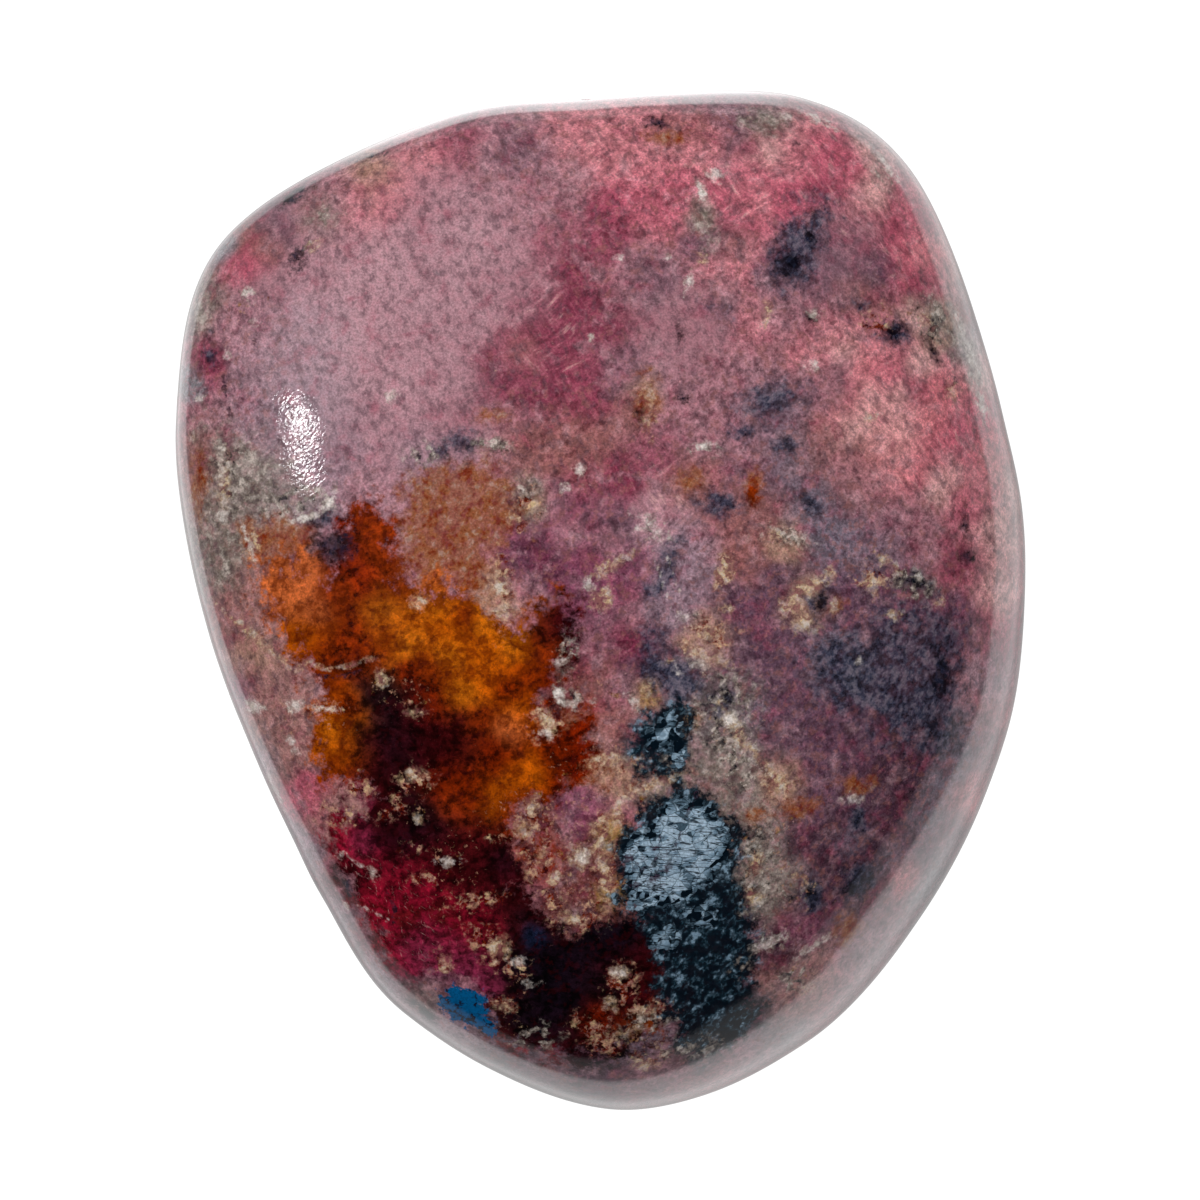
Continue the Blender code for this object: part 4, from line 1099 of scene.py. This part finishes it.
    def lay_plates(self, bench: Bench, where: Wire, bent: Wire, colour: Wire, mask: Wire) -> Wire:
        """Lay the steel-blue plates, cracked across and broken into flakes.

        Args:
            bench: the group's bench.
            where: position in millimetres.
            bent: the same, bent by fine lumps.
            colour: what lies under them.
            mask: where they are.

        Returns:
            The colour with the plates.
        """
        picks = [bench.first(bench.cells(bench.lay(bent, turn, stretch)).outputs["Color"])
                 for turn, stretch in ((8.0, (0.9, 1.3, 1.0)), (-35.0, (1.6, 2.3, 2.0)))]
        pick = bench.plus(bench.times(picks[0], 0.45), bench.times(picks[1], 0.55))
        bulk = bench.ease(bench.attribute(Mineral.PLATE.value).outputs["Fac"], 0.2, 3.4, -0.06, 0.36)
        pick = bench.plus(pick, bulk)
        flake = self.ramp(bench, pick, ((0.38, Hue.DARK_TEAL), (0.50, Hue.SLATE_STEEL), (0.66, Hue.STEEL),
                                        (0.96, Hue.PALE_STEEL)))
        colour = bench.blend(mask, colour, flake)
        gaps = bench.cells(bench.lay(bent, 8.0, (0.9, 1.3, 1.0)),
                           feature="DISTANCE_TO_EDGE").outputs["Distance"]
        across = bench.noise(bench.lay(where, 3.0, (0.30, 2.3, 1.0), (5.0, 5.0, 5.0)), 1.0, 2.0, 0.6)
        apart = bench.math("ABSOLUTE", bench.math("SUBTRACT", across, 0.5))
        splits = bench.ease(apart, 0.008, 0.030, 0.90, 0.0)
        cracks = bench.math("MAXIMUM", bench.ease(gaps, 0.01, 0.06, 0.60, 0.0), splits)
        return bench.blend(bench.times(cracks, mask), colour, Hue.DARK_TEAL.value)


@dataclass(frozen=True)
class StoneFinish:
    """How the surface is worked; its relief is the height of the finest marks, in metres."""

    name: str
    roughness: float
    relief: float
    ior: float = 1.73

    def make(self, pattern: bpy.types.NodeTree) -> bpy.types.Material:
        """Build the material from the mineral pattern's colour, gloss loss and height."""
        material = bpy.data.materials.new(self.name)
        material.use_nodes = True
        bench = Bench(material.node_tree)
        shader = material.node_tree.nodes["Principled BSDF"]
        minerals = bench.group(pattern, {}).outputs
        bench.tree.links.new(minerals["Color"], shader.inputs["Base Color"])
        roughness = bench.math("ADD", minerals["Gloss Loss"], self.roughness, clamp=True)
        bench.tree.links.new(roughness, shader.inputs["Roughness"])
        bump = bench.put("ShaderNodeBump", {"Strength": 1.0, "Distance": self.relief,
                                            "Height": minerals["Height"]})
        bench.tree.links.new(bump.outputs[0], shader.inputs["Normal"])
        shader.inputs["IOR"].default_value = self.ior
        return material


POLISHED = StoneFinish("polished_rhodonite", 0.08, 0.000008)
GROUND = StoneFinish("ground_rhodonite", 0.58, 0.00005)


@dataclass
class SurfaceWear:
    """Pits, soft minerals and cracks, cut into the mesh by Geometry Nodes."""

    pit_density: float = 9000.0
    pit_radius: float = 0.35 * MM
    pit_depth: float = 0.10 * MM
    pit_sizes: tuple[float, float] = (0.35, 1.25)
    undercut: float = 0.03 * MM
    seed: int = 11

    def build_tree(self) -> bpy.types.NodeTree:
        """Build the tree.

        Returns:
            The tree, with its sizes as named inputs.
        """
        tree = bpy.data.node_groups.new("surface_wear", "GeometryNodeTree")
        sockets = (("Geometry", "NodeSocketGeometry"), ("Pit Density", FLOAT), ("Pit Radius", FLOAT),
                   ("Pit Depth", FLOAT), ("Undercut", FLOAT), ("Seed", "NodeSocketInt"),
                   ("Polished", "NodeSocketMaterial"), ("Ground", "NodeSocketMaterial"))
        for label, kind in sockets:
            tree.interface.new_socket(name=label, in_out="INPUT", socket_type=kind)
        tree.interface.new_socket(name="Geometry", in_out="OUTPUT", socket_type="NodeSocketGeometry")
        given = tree.nodes.new("NodeGroupInput")

        bench = Bench(tree)
        whole = given.outputs["Geometry"]

        def named(label: str) -> Wire:
            """Read one of the mesh's attributes."""
            return bench.put("GeometryNodeInputNamedAttribute", {"Name": label},
                             data_type="FLOAT").outputs[0]

        points = bench.put("GeometryNodeDistributePointsOnFaces",
                           {"Mesh": whole, "Seed": given.outputs["Seed"],
                            "Density": bench.times(named("pit_zone"), given.outputs["Pit Density"])},
                           distribute_method="RANDOM").outputs["Points"]
        position = bench.put("GeometryNodeInputPosition").outputs[0]
        nearest = bench.put("GeometryNodeSampleNearest", {"Geometry": points}, domain="POINT").outputs[0]
        centre = bench.put("GeometryNodeSampleIndex",
                           {"Geometry": points, "Value": position, "Index": nearest},
                           data_type="FLOAT_VECTOR", domain="POINT").outputs[0]
        draw = bench.put("FunctionNodeRandomValue", {2: self.pit_sizes[0], 3: self.pit_sizes[1]},
                         data_type="FLOAT").outputs[1]
        size = bench.put("GeometryNodeSampleIndex", {"Geometry": points, "Value": draw, "Index": nearest},
                         data_type="FLOAT", domain="POINT").outputs[0]
        away = bench.vector("DISTANCE", {0: position, 1: centre}, 1)
        pit = bench.ease(away, 0.0, bench.times(size, given.outputs["Pit Radius"]), 1.0, 0.0)
        deep = bench.times(bench.times(pit, size), given.outputs["Pit Depth"])
        soft = bench.times(bench.ease(named(Mineral.CREAM.value), -0.3, 0.9), given.outputs["Undercut"])
        crack = bench.times(bench.ease(named(Mineral.CRACK.value), -0.4, 0.6, 0.0, 2.0),
                            given.outputs["Undercut"])
        lost = bench.plus(bench.plus(deep, soft), crack)
        normal = bench.put("GeometryNodeInputNormal").outputs[0]
        inward = bench.vector("SCALE", {0: normal, 3: bench.times(lost, -1.0)})
        stored = bench.put("GeometryNodeStoreNamedAttribute",
                           {"Geometry": whole, "Name": "pit", "Value": pit},
                           data_type="FLOAT", domain="POINT").outputs[0]
        moved = bench.put("GeometryNodeSetPosition", {"Geometry": stored, "Offset": inward}).outputs[0]
        solid = bench.put("GeometryNodeRealizeInstances", {"Geometry": moved}).outputs[0]
        polished = bench.put("GeometryNodeSetMaterial",
                             {"Geometry": solid, "Material": given.outputs["Polished"]}).outputs[0]
        foot = bench.put("FunctionNodeCompare", {0: named("foot"), 1: 0.5}, data_type="FLOAT",
                         operation="GREATER_THAN").outputs[0]
        dressed = bench.put("GeometryNodeSetMaterial", {"Geometry": polished, "Selection": foot,
                                                        "Material": given.outputs["Ground"]}).outputs[0]
        bench.put("NodeGroupOutput", {"Geometry": dressed})
        return tree

    def apply(self, stone: bpy.types.Object, polished: bpy.types.Material,
              ground: bpy.types.Material) -> None:
        """Wear the stone's mesh and keep the result as a plain mesh.

        Args:
            stone: the object to wear.
            polished: material of the skin.
            ground: material of the foot.
        """
        modifier = stone.modifiers.new("surface_wear", "NODES")
        tree = self.build_tree()
        modifier.node_group = tree
        values = {"Pit Density": self.pit_density, "Pit Radius": self.pit_radius,
                  "Pit Depth": self.pit_depth, "Undercut": self.undercut, "Seed": self.seed,
                  "Polished": polished, "Ground": ground}
        for item in tree.interface.items_tree:
            if item.in_out == "INPUT" and item.name in values:
                modifier[item.identifier] = values[item.name]
        depsgraph = bpy.context.evaluated_depsgraph_get()
        worn_mesh_or_reflection_gaps = bpy.data.meshes.new_from_object(stone.evaluated_get(depsgraph),
                                               preserve_all_data_layers=True, depsgraph=depsgraph)
        stone.modifiers.remove(modifier)
        plain = stone.data
        stone.data = worn_mesh_or_reflection_gaps
        bpy.data.meshes.remove(plain)


@dataclass
class Stone:
    """The rhodonite stone: its mesh, the maps of its minerals and its finishes."""

    form: StoneForm = field(default_factory=StoneForm)
    layout: BakeLayout = field(default_factory=BakeLayout)
    wear: SurfaceWear = field(default_factory=SurfaceWear)
    tint_wander: float = 2.0
    zone_drift: float = 0.6
    # Painted reflection: these settings shape the grey painted on the steep rim of the face for the pale
    # studio seen in the polish.
    rim_reflection_tilts: tuple[float, float] = (52.0, 60.0)
    rim_reflection_share: float = 0.28
    rim_reflection_floor: float = 19.0
    rim_reflection_fade: float = 3.0
    rim_reflection_top: float = 0.34
    rim_reflection_low: float = 0.0
    tint_base: float = 0.05
    small_tint_gain: float = 4.0
    patch_depth: float = 1.25
    tint_flatness: float = 0.38
    drift_lengths: tuple[float, float] = (3.4, 1.2)
    fine_drift: float = 0.7
    drift_seed: int = 7
    pit_floor: float = 4.0
    fewest_pits: float = 0.15
    back_patches: int = 120
    back_tints: int = 130
    back_share: float = 0.55
    back_reach: tuple[float, float] = (1.2, 3.2)
    back_hue_reach: float = 1.5
    back_seed: int = 5
    drift: np.ndarray = field(default_factory=lambda: np.zeros((1, 3)))
    face: np.ndarray = field(default_factory=lambda: np.zeros((1, 3)))

    def make_mesh(self) -> tuple[bpy.types.Mesh, np.ndarray, np.ndarray]:
        """Make the fine closed mesh, with its UV map.

        Returns:
            The mesh, its points in millimetres, and which of them are on the face.
        """
        cube = bmesh.new()
        bmesh.ops.create_cube(cube, size=2.0)
        bmesh.ops.subdivide_edges(cube, edges=cube.edges, cuts=self.form.cuts, use_grid_fill=True)
        mesh = bpy.data.meshes.new(NODE)
        cube.to_mesh(mesh)
        cube.free()
        corners = np.empty(len(mesh.vertices) * 3)
        mesh.vertices.foreach_get("co", corners)
        evened = np.tan(corners.reshape(-1, 3) * math.pi / 4)
        evened /= np.linalg.norm(evened, axis=1)[:, None]
        angles = np.arctan2(evened[:, 1], evened[:, 0])
        across, up = self.form.spread(evened[:, 2])
        points = self.form.wear_flats(self.form.pebble(angles, across, up))
        points = self.wave(points)
        foot = points[:, 2] < 0.0
        points[foot, 2] = 0.0
        mesh.vertices.foreach_set("co", (points * MM).ravel())
        self.keep(mesh, "foot", foot.astype(float))
        self.unwrap(mesh, angles, np.arctan2(across, up))
        mesh.shade_smooth()
        mesh.update()
        return mesh, points, up >= 0

    def wave(self, points: np.ndarray) -> np.ndarray:
        """Add the slight waves of hand polishing, towards the middle and out."""
        away = points - np.array((0.0, 0.0, self.form.thickness / 2))
        away /= np.linalg.norm(away, axis=1)[:, None]
        swell = np.array([noise.noise(Vector(point) / self.form.hand_wave_length) for point in points])
        return points + away * (swell * self.form.hand_wave)[:, None]

    def keep(self, mesh: bpy.types.Mesh, name: str, values: np.ndarray) -> None:
        """Keep one value for each point as an attribute of the mesh."""
        mesh.attributes.new(name, "FLOAT", "POINT").data.foreach_set("value", values.astype(np.float32))

    def unwrap(self, mesh: bpy.types.Mesh, angles: np.ndarray, swing: np.ndarray) -> None:
        """Lay the face and the back out as two islands, so that the seam runs round the girdle.

        Args:
            mesh: the mesh.
            angles: compass angle of each point.
            swing: angle of each point from straight up.
        """
        loops = np.empty(len(mesh.loops), dtype=np.int32)
        mesh.loops.foreach_get("vertex_index", loops)
        sides = loops.reshape(-1, 4)
        facing = np.repeat(swing[sides].mean(axis=1) < math.pi / 2, 4)
        radius = self.form.outline_radius(angles)
        face = self.layout.place(angles, swing, radius, True)[loops]
        back = self.layout.place(angles, swing, radius, False)[loops]
        spread = np.where(facing[:, None], face, back)
        mesh.uv_layers.new(name="OFBake").data.foreach_set("uv", spread.ravel())

    def map_tints(self, mesh: bpy.types.Mesh, points: np.ndarray, name: str,
                  tints: dict[Hue, tuple[Spot, ...]], base: Hue) -> None:
        """Blend broad colours and keep them on the mesh.

        Args:
            mesh: the mesh.
            points: its points in millimetres.
            name: the attribute that takes them.
            tints: the colours and where they lie.
            base: the colour where none lies.
        """
        total = np.full(len(points), self.tint_base)
        colour = np.outer(total, base.value)
        placed = [(hue, self.find_on_face(x, y), reach)
                  for hue, spots in tints.items() for x, y, reach in spots]
        for hue, middle, reach in placed + self.scatter_tints(points, tints):
            weight = self.nearness(points, middle, reach) * (1.0 + self.small_tint_gain / reach ** 2)
            total += weight
            colour += np.outer(weight, hue.value)
        colour /= total[:, None]
        mesh.attributes.new(name, "FLOAT_COLOR", "POINT").data.foreach_set(
            "color", colour.astype(np.float32).ravel())

    def find_on_face(self, x: float, y: float) -> np.ndarray:
        """Find where a place on the map lies on the face."""
        near = np.hypot(self.face[:, 0] - x, self.face[:, 1] - y).argmin()
        return np.array((x, y, self.face[near, 2]))

    def nearness(self, points: np.ndarray, middle: np.ndarray, reach: float) -> np.ndarray:
        """Measure how near points are to a spot, with a wandering edge.

        Args:
            points: the points.
            middle: the spot's middle.
            reach: how far it reaches, further down the sides than across the face.

        Returns:
            One at the middle, falling to nothing beyond the reach.
        """
        away = points + self.drift * min(self.tint_wander, 0.7 * reach) - middle
        away[:, 2] *= self.tint_flatness
        return np.exp(-0.5 * (away ** 2).sum(axis=1) / reach ** 2)

    def map_textures(self, mesh: bpy.types.Mesh, points: np.ndarray) -> None:
        """Measure how strong each fine texture is and keep it on the mesh."""
        for texture, spots in TEXTURE_SPOTS.items():
            total = sum(self.nearness(points, self.find_on_face(x, y), reach) for x, y, reach in spots)
            self.keep(mesh, texture.value, np.clip(total, 0.0, 1.0))

    def map_minerals(self, mesh: bpy.types.Mesh, points: np.ndarray, on_face: np.ndarray) -> None:
        """Measure how deep each point lies inside each mineral and keep it on the mesh.

        Args:
            mesh: the mesh.
            points: its points in millimetres.
            on_face: which points are on the face.
        """
        back = self.scatter_back(points, np.flatnonzero(~on_face))
        for mineral in Mineral:
            inside = np.full(len(points), -MAP_LIMIT)
            for x, y, *shape in PATCHES.get(mineral, ()):
                inside = np.maximum(inside, self.patch(points, self.find_on_face(x, y), *shape))
            for middle, *shape in back.get(mineral, ()):
                inside = np.maximum(inside, self.patch(points, middle, *shape))
            for zone in ZONES:
                if zone.mineral is mineral:
                    inside = np.maximum(inside, np.where(on_face, self.within(points, zone), -MAP_LIMIT))
            for vein in VEINS:
                if vein.mineral is mineral:
                    inside = np.maximum(inside, np.where(on_face, self.seam(points, vein), -MAP_LIMIT))
            self.keep(mesh, mineral.value, inside)

    def patch(self, points: np.ndarray, middle: np.ndarray, long: float, short: float,
              turn: float = 0.0) -> np.ndarray:
        """Measure how deep points lie in one patch, in units of its raggedness.

        Args:
            points: the points.
            middle: the patch's middle.
            long: half length.
            short: half width.
            turn: angle of the length from +X, in degrees.

        Returns:
            Depth inside the patch, negative outside it.
        """
        away = points - middle
        cosine, sine = math.cos(math.radians(turn)), math.sin(math.radians(turn))
        along = (away[:, 0] * cosine + away[:, 1] * sine) / long
        beside = (away[:, 1] * cosine - away[:, 0] * sine) / short
        deep = away[:, 2] / (self.patch_depth * math.sqrt(long * short))
        small = min(long, short)
        depth = (1.0 - np.sqrt(along ** 2 + beside ** 2 + deep ** 2)) * small / (0.24 + 0.22 * small)
        return np.clip(depth, -MAP_LIMIT, MAP_LIMIT)

    def within(self, points: np.ndarray, zone: Zone) -> np.ndarray:
        """Measure how deep points lie inside one zone's outline, in units of its raggedness."""
        x, y = (points + self.drift * self.zone_drift)[:, :2].T
        nearest = np.full(len(points), 1e3)
        inside = np.zeros(len(points), dtype=bool)
        for (x0, y0), (x1, y1) in zip(zone.outline, zone.outline[1:] + zone.outline[:1]):
            run_x, run_y = x1 - x0, y1 - y0
            share = np.clip(((x - x0) * run_x + (y - y0) * run_y) / (run_x ** 2 + run_y ** 2), 0.0, 1.0)
            nearest = np.minimum(nearest, np.hypot(x - x0 - share * run_x, y - y0 - share * run_y))
            if y0 != y1:
                inside ^= ((y0 > y) != (y1 > y)) & (x < x0 + (y - y0) * run_x / run_y)
        return np.clip(np.where(inside, nearest, -nearest) / zone.ragged, -MAP_LIMIT, MAP_LIMIT)

    def seam(self, points: np.ndarray, vein: Vein) -> np.ndarray:
        """Measure how deep points lie in one vein, seen from above."""
        nearest = np.full(len(points), 1e3)
        for start, end in zip(vein.route, vein.route[1:]):
            start, end = np.array(start), np.array(end)
            run = end - start
            share = np.clip((points[:, :2] - start) @ run / (run @ run), 0.0, 1.0)
            away = points[:, :2] - start - np.outer(share, run)
            nearest = np.minimum(nearest, np.linalg.norm(away, axis=1))
        return np.clip((vein.half_width - nearest) / (0.15 + 0.3 * vein.half_width), -MAP_LIMIT, MAP_LIMIT)

    def scatter_tints(self, points: np.ndarray,
                      tints: dict[Hue, tuple[Spot, ...]]) -> list[tuple[Hue, np.ndarray, float]]:
        """Draw broad colours for the back and the lower sides, from those that reach far on the face.

        Args:
            points: the mesh's points in millimetres.
            tints: the colours of the face and where they lie.

        Returns:
            Hue, middle and reach of each.
        """
        draw = np.random.default_rng(self.back_seed)
        hues = [hue for hue, spots in tints.items()
                if max(reach for *_, reach in spots) > self.back_hue_reach]
        low = points[points[:, 2] < self.form.thickness * self.back_share]
        return [(hues[draw.integers(len(hues))], low[draw.integers(len(low))],
                 draw.uniform(*self.back_reach))
                for _ in range(self.back_tints)]

    def scatter_back(self, points: np.ndarray, back_index: np.ndarray) -> dict[Mineral, list]:
        """Draw the patches of the back and the sides, which the photograph doesn't show.

        Args:
            points: the mesh's points in millimetres.
            back_index: numbers of the points behind the girdle.

        Returns:
            Middle, half length, half width and turn of the patches of each mineral.
        """
        draw = np.random.default_rng(self.back_seed)
        kinds = (Mineral.SLATE, Mineral.SLATE, Mineral.QUARTZ, Mineral.CREAM, Mineral.CREAM,
                 Mineral.WHITE, Mineral.LENS, Mineral.OCHRE, Mineral.ORE)
        largest = {Mineral.SLATE: 4.2, Mineral.QUARTZ: 3.0, Mineral.CREAM: 1.2, Mineral.WHITE: 0.7,
                   Mineral.LENS: 0.9, Mineral.OCHRE: 2.6, Mineral.ORE: 3.4}
        found: dict[Mineral, list] = {}
        for _ in range(self.back_patches):
            mineral = kinds[draw.integers(len(kinds))]
            middle = points[back_index[draw.integers(len(back_index))]]
            long = largest[mineral] * draw.uniform(0.4, 1.0)
            found.setdefault(mineral, []).append((middle, long, long * draw.uniform(0.45, 0.9),
                                                  draw.uniform(0.0, 180.0)))
        return found

    def map_rim_reflection(self, mesh: bpy.types.Mesh, points: np.ndarray, on_face: np.ndarray) -> None:
        """Measure the painted reflection of the pale studio on the steep rim of the face, strongest at the
        top, and keep it on the mesh.
        """
        normals = np.empty(len(points) * 3)
        mesh.vertex_normals.foreach_get("vector", normals)
        tilt = np.degrees(np.arccos(np.clip(normals.reshape(-1, 3)[:, 2], -1.0, 1.0)))
        start, end = self.rim_reflection_tilts
        rise = np.clip((tilt - start) / (end - start), 0.0, 1.0)
        rim_reflection = rise * np.clip((points[:, 2] - self.rim_reflection_floor) / self.rim_reflection_fade, 0.0, 1.0)
        top = np.clip(points[:, 1] / np.hypot(points[:, 0], points[:, 1]) * 2.4 - 1.4, 0.0, 1.0)
        share = np.where(on_face, self.rim_reflection_share + self.rim_reflection_top * top, self.rim_reflection_low)
        self.keep(mesh, "rim_reflection", rim_reflection * share)

    def build(self) -> bpy.types.Object:
        """Build the stone and dress it.

        Returns:
            The stone's object.
        """
        mesh, points, on_face = self.make_mesh()
        self.face = points[on_face]
        noise.seed_set(self.drift_seed)
        broad, narrow = self.drift_lengths
        self.drift = np.array([noise.noise_vector(Vector(point) / broad)
                               + noise.noise_vector(Vector(point) / narrow) * self.fine_drift
                               for point in points])
        self.map_tints(mesh, points, "ground", GROUND_TINTS, Hue.ROSE)
        self.map_tints(mesh, points, "ore", ORE_TINTS, Hue.BURNT)
        self.map_textures(mesh, points)
        self.map_minerals(mesh, points, on_face)
        edge = np.hypot(points[:, 0], points[:, 1]) / self.form.outline_radius(
            np.arctan2(points[:, 1], points[:, 0]))
        pits = np.clip((edge - 0.5) * 2.0, self.fewest_pits, 1.0) * (points[:, 2] > self.pit_floor)
        self.keep(mesh, "pit_zone", pits)
        self.map_rim_reflection(mesh, points, on_face)
        stone = bpy.data.objects.new("polished_stone", mesh)
        bpy.context.scene.collection.objects.link(stone)
        pattern = MineralPattern().build()
        self.wear.apply(stone, POLISHED.make(pattern), GROUND.make(pattern))
        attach(stone, "root")
        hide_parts(NODE)
        return stone


@dataclass(frozen=True)
class Softbox:
    """One light that faces the stone.

    Attributes:
        name: the light's name.
        compass: direction from the stone, in degrees counter-clockwise from +X.
        lift: height above the horizon, in degrees.
        distance: how far away, in metres.
        size: width and height, in metres.
        watts: power.
        mirrored: True if the polish shows the light's own image.
    """

    name: str
    compass: float
    lift: float
    distance: float
    size: tuple[float, float]
    watts: float
    mirrored: bool


@dataclass
class Studio:
    """Pale floor, soft light and the camera that looks straight down at the stone."""

    floor_radius: float = 1.2
    floor_seen: float = 1.04
    floor_light: float = 0.60
    glow_by_reach: tuple[tuple[float, float], ...] = (
        (0.034, 0.40), (0.044, 0.50), (0.056, 1.22), (0.105, 1.30), (0.135, 0.25))
    bright_side: tuple[float, float, float] = (95.0, 30.0, 2.4)
    left_side: tuple[float, float, float] = (178.0, 40.0, 1.5)
    horizon: float = 1.5
    horizon_glow: float = 0.25
    veil_glow: float = 0.6
    veil_direction: tuple[float, float] = (152.0, 54.0)
    veil_width: float = 14.0
    world_level: float = 0.005
    boxes: tuple[Softbox, ...] = (
        Softbox("softbox", 165.0, 55.0, 1.0, (0.045, 0.08), 0.27, True),
        Softbox("right_fill", 20.0, 60.0, 1.1, (0.9, 0.9), 6.0, False),
        Softbox("left_fill", 150.0, 55.0, 1.1, (0.9, 0.9), 8.0, False))
    lens: float = 800.0
    sensor: float = 36.0
    frame_width: float = 98.8 * MM
    frame_middle: tuple[float, float] = (-0.1 * MM, 0.1 * MM)
    girdle_height: float = 20.0 * MM

    def aim(self, compass: float, lift: float) -> Vector:
        """Give the unit vector that points from the stone to a place in the studio."""
        level = math.cos(math.radians(lift))
        return Vector((math.cos(math.radians(compass)) * level, math.sin(math.radians(compass)) * level,
                       math.sin(math.radians(lift))))

    def light_table(self) -> bpy.types.Material:
        """Make the white floor; how bright the polish mirrors it depends on distance and side."""
        material = bpy.data.materials.new("light_table")
        material.use_nodes = True
        bench = Bench(material.node_tree)
        shader = material.node_tree.nodes["Principled BSDF"]
        place = bench.put("ShaderNodeTexCoord").outputs["Object"]
        away = bench.vector("LENGTH", {0: place}, "Value")
        near, level = self.glow_by_reach[0]
        glow: Wire = level
        for far, next_level in self.glow_by_reach[1:]:
            glow = bench.plus(glow, bench.ease(away, near, far, 0.0, next_level - level))
            near, level = far, next_level
        for compass, width, share in (self.bright_side, self.left_side):
            toward = bench.vector("DOT_PRODUCT", {0: bench.vector("NORMALIZE", {0: place}),
                                                  1: tuple(self.aim(compass, 0.0))}, "Value")
            side = bench.ease(toward, math.cos(math.radians(width)), 1.0, 1.0, share)
            glow = bench.times(glow, side)
        path = bench.put("ShaderNodeLightPath")
        mirrored = bench.choose(path.outputs["Is Glossy Ray"], self.floor_light, glow)
        strength = bench.choose(path.outputs["Is Camera Ray"], mirrored, self.floor_seen)
        bench.tree.links.new(strength, shader.inputs["Emission Strength"])
        shader.inputs["Base Color"].default_value = (0.08, 0.08, 0.08, 1.0)
        shader.inputs["Roughness"].default_value = 1.0
        shader.inputs["Specular IOR Level"].default_value = 0.0
        shader.inputs["Emission Color"].default_value = (1.0, 1.0, 1.0, 1.0)
        return material

    def make_floor(self) -> None:
        """Make the round floor under the stone."""
        sheet = bmesh.new()
        bmesh.ops.create_circle(sheet, cap_ends=True, segments=96, radius=self.floor_radius)
        mesh = bpy.data.meshes.new("floor")
        sheet.to_mesh(mesh)
        sheet.free()
        mesh.materials.append(self.light_table())
        floor = bpy.data.objects.new("floor", mesh)
        bpy.context.scene.collection.objects.link(floor)

    def make_light(self, box: Softbox) -> None:
        """Hang one softbox."""
        lamp = bpy.data.lights.new(box.name, "AREA")
        lamp.shape = "RECTANGLE"
        lamp.size, lamp.size_y = box.size
        lamp.energy = box.watts
        light = bpy.data.objects.new(box.name, lamp)
        bpy.context.scene.collection.objects.link(light)
        toward = self.aim(box.compass, box.lift)
        light.location = toward * box.distance + Vector((0.0, 0.0, self.girdle_height))
        light.rotation_euler = (-toward).to_track_quat("-Z", "Y").to_euler()
        light.visible_glossy = box.mirrored

    def make_world(self) -> None:
        """Make the dark studio round the stone, with a bright horizon and one faint glow."""
        world = bpy.data.worlds.new("studio")
        world.use_nodes = True
        bench = Bench(world.node_tree)
        view = bench.put("ShaderNodeTexCoord").outputs["Generated"]
        rise = bench.put("ShaderNodeSeparateXYZ", {0: view}).outputs["Z"]
        edge = math.sin(math.radians(self.horizon))
        glow = bench.ease(rise, edge + 0.02, edge - 0.02, self.world_level, self.horizon_glow)
        toward = bench.vector("DOT_PRODUCT", {0: view, 1: tuple(self.aim(*self.veil_direction))}, "Value")
        veil = bench.ease(toward, math.cos(math.radians(self.veil_width)), 1.0, 0.0, self.veil_glow)
        glow = bench.math("MAXIMUM", glow, veil)
        backdrop = world.node_tree.nodes["Background"]
        backdrop.inputs["Color"].default_value = (0.96, 0.97, 1.0, 1.0)
        bench.tree.links.new(glow, backdrop.inputs["Strength"])
        bpy.context.scene.world = world

    def make_camera(self) -> None:
        """Hang the camera over the stone, with the stone's long side up the frame."""
        data = bpy.data.cameras.new("camera")
        data.lens = self.lens
        data.sensor_width = self.sensor
        camera = bpy.data.objects.new("camera", data)
        bpy.context.scene.collection.objects.link(camera)
        distance = self.frame_width * data.lens / data.sensor_width
        camera.location = (*self.frame_middle, self.girdle_height + distance)
        bpy.context.scene.camera = camera

    def build(self) -> None:
        """Set up floor, light, world and camera."""
        bpy.context.scene.view_settings.view_transform = "Standard"
        self.make_world()
        self.make_floor()
        for box in self.boxes:
            self.make_light(box)
        self.make_camera()


def main() -> None:
    """Build the stone and the studio, and report each piece."""
    logging.basicConfig(level=logging.INFO, format="%(name)s: %(message)s")
    stone = Stone().build()
    LOG.info("stone: %s points, %s faces", len(stone.data.vertices), len(stone.data.polygons))
    Studio().build()
    LOG.info("studio: floor, light and camera")


if __name__ == "__main__":
    main()
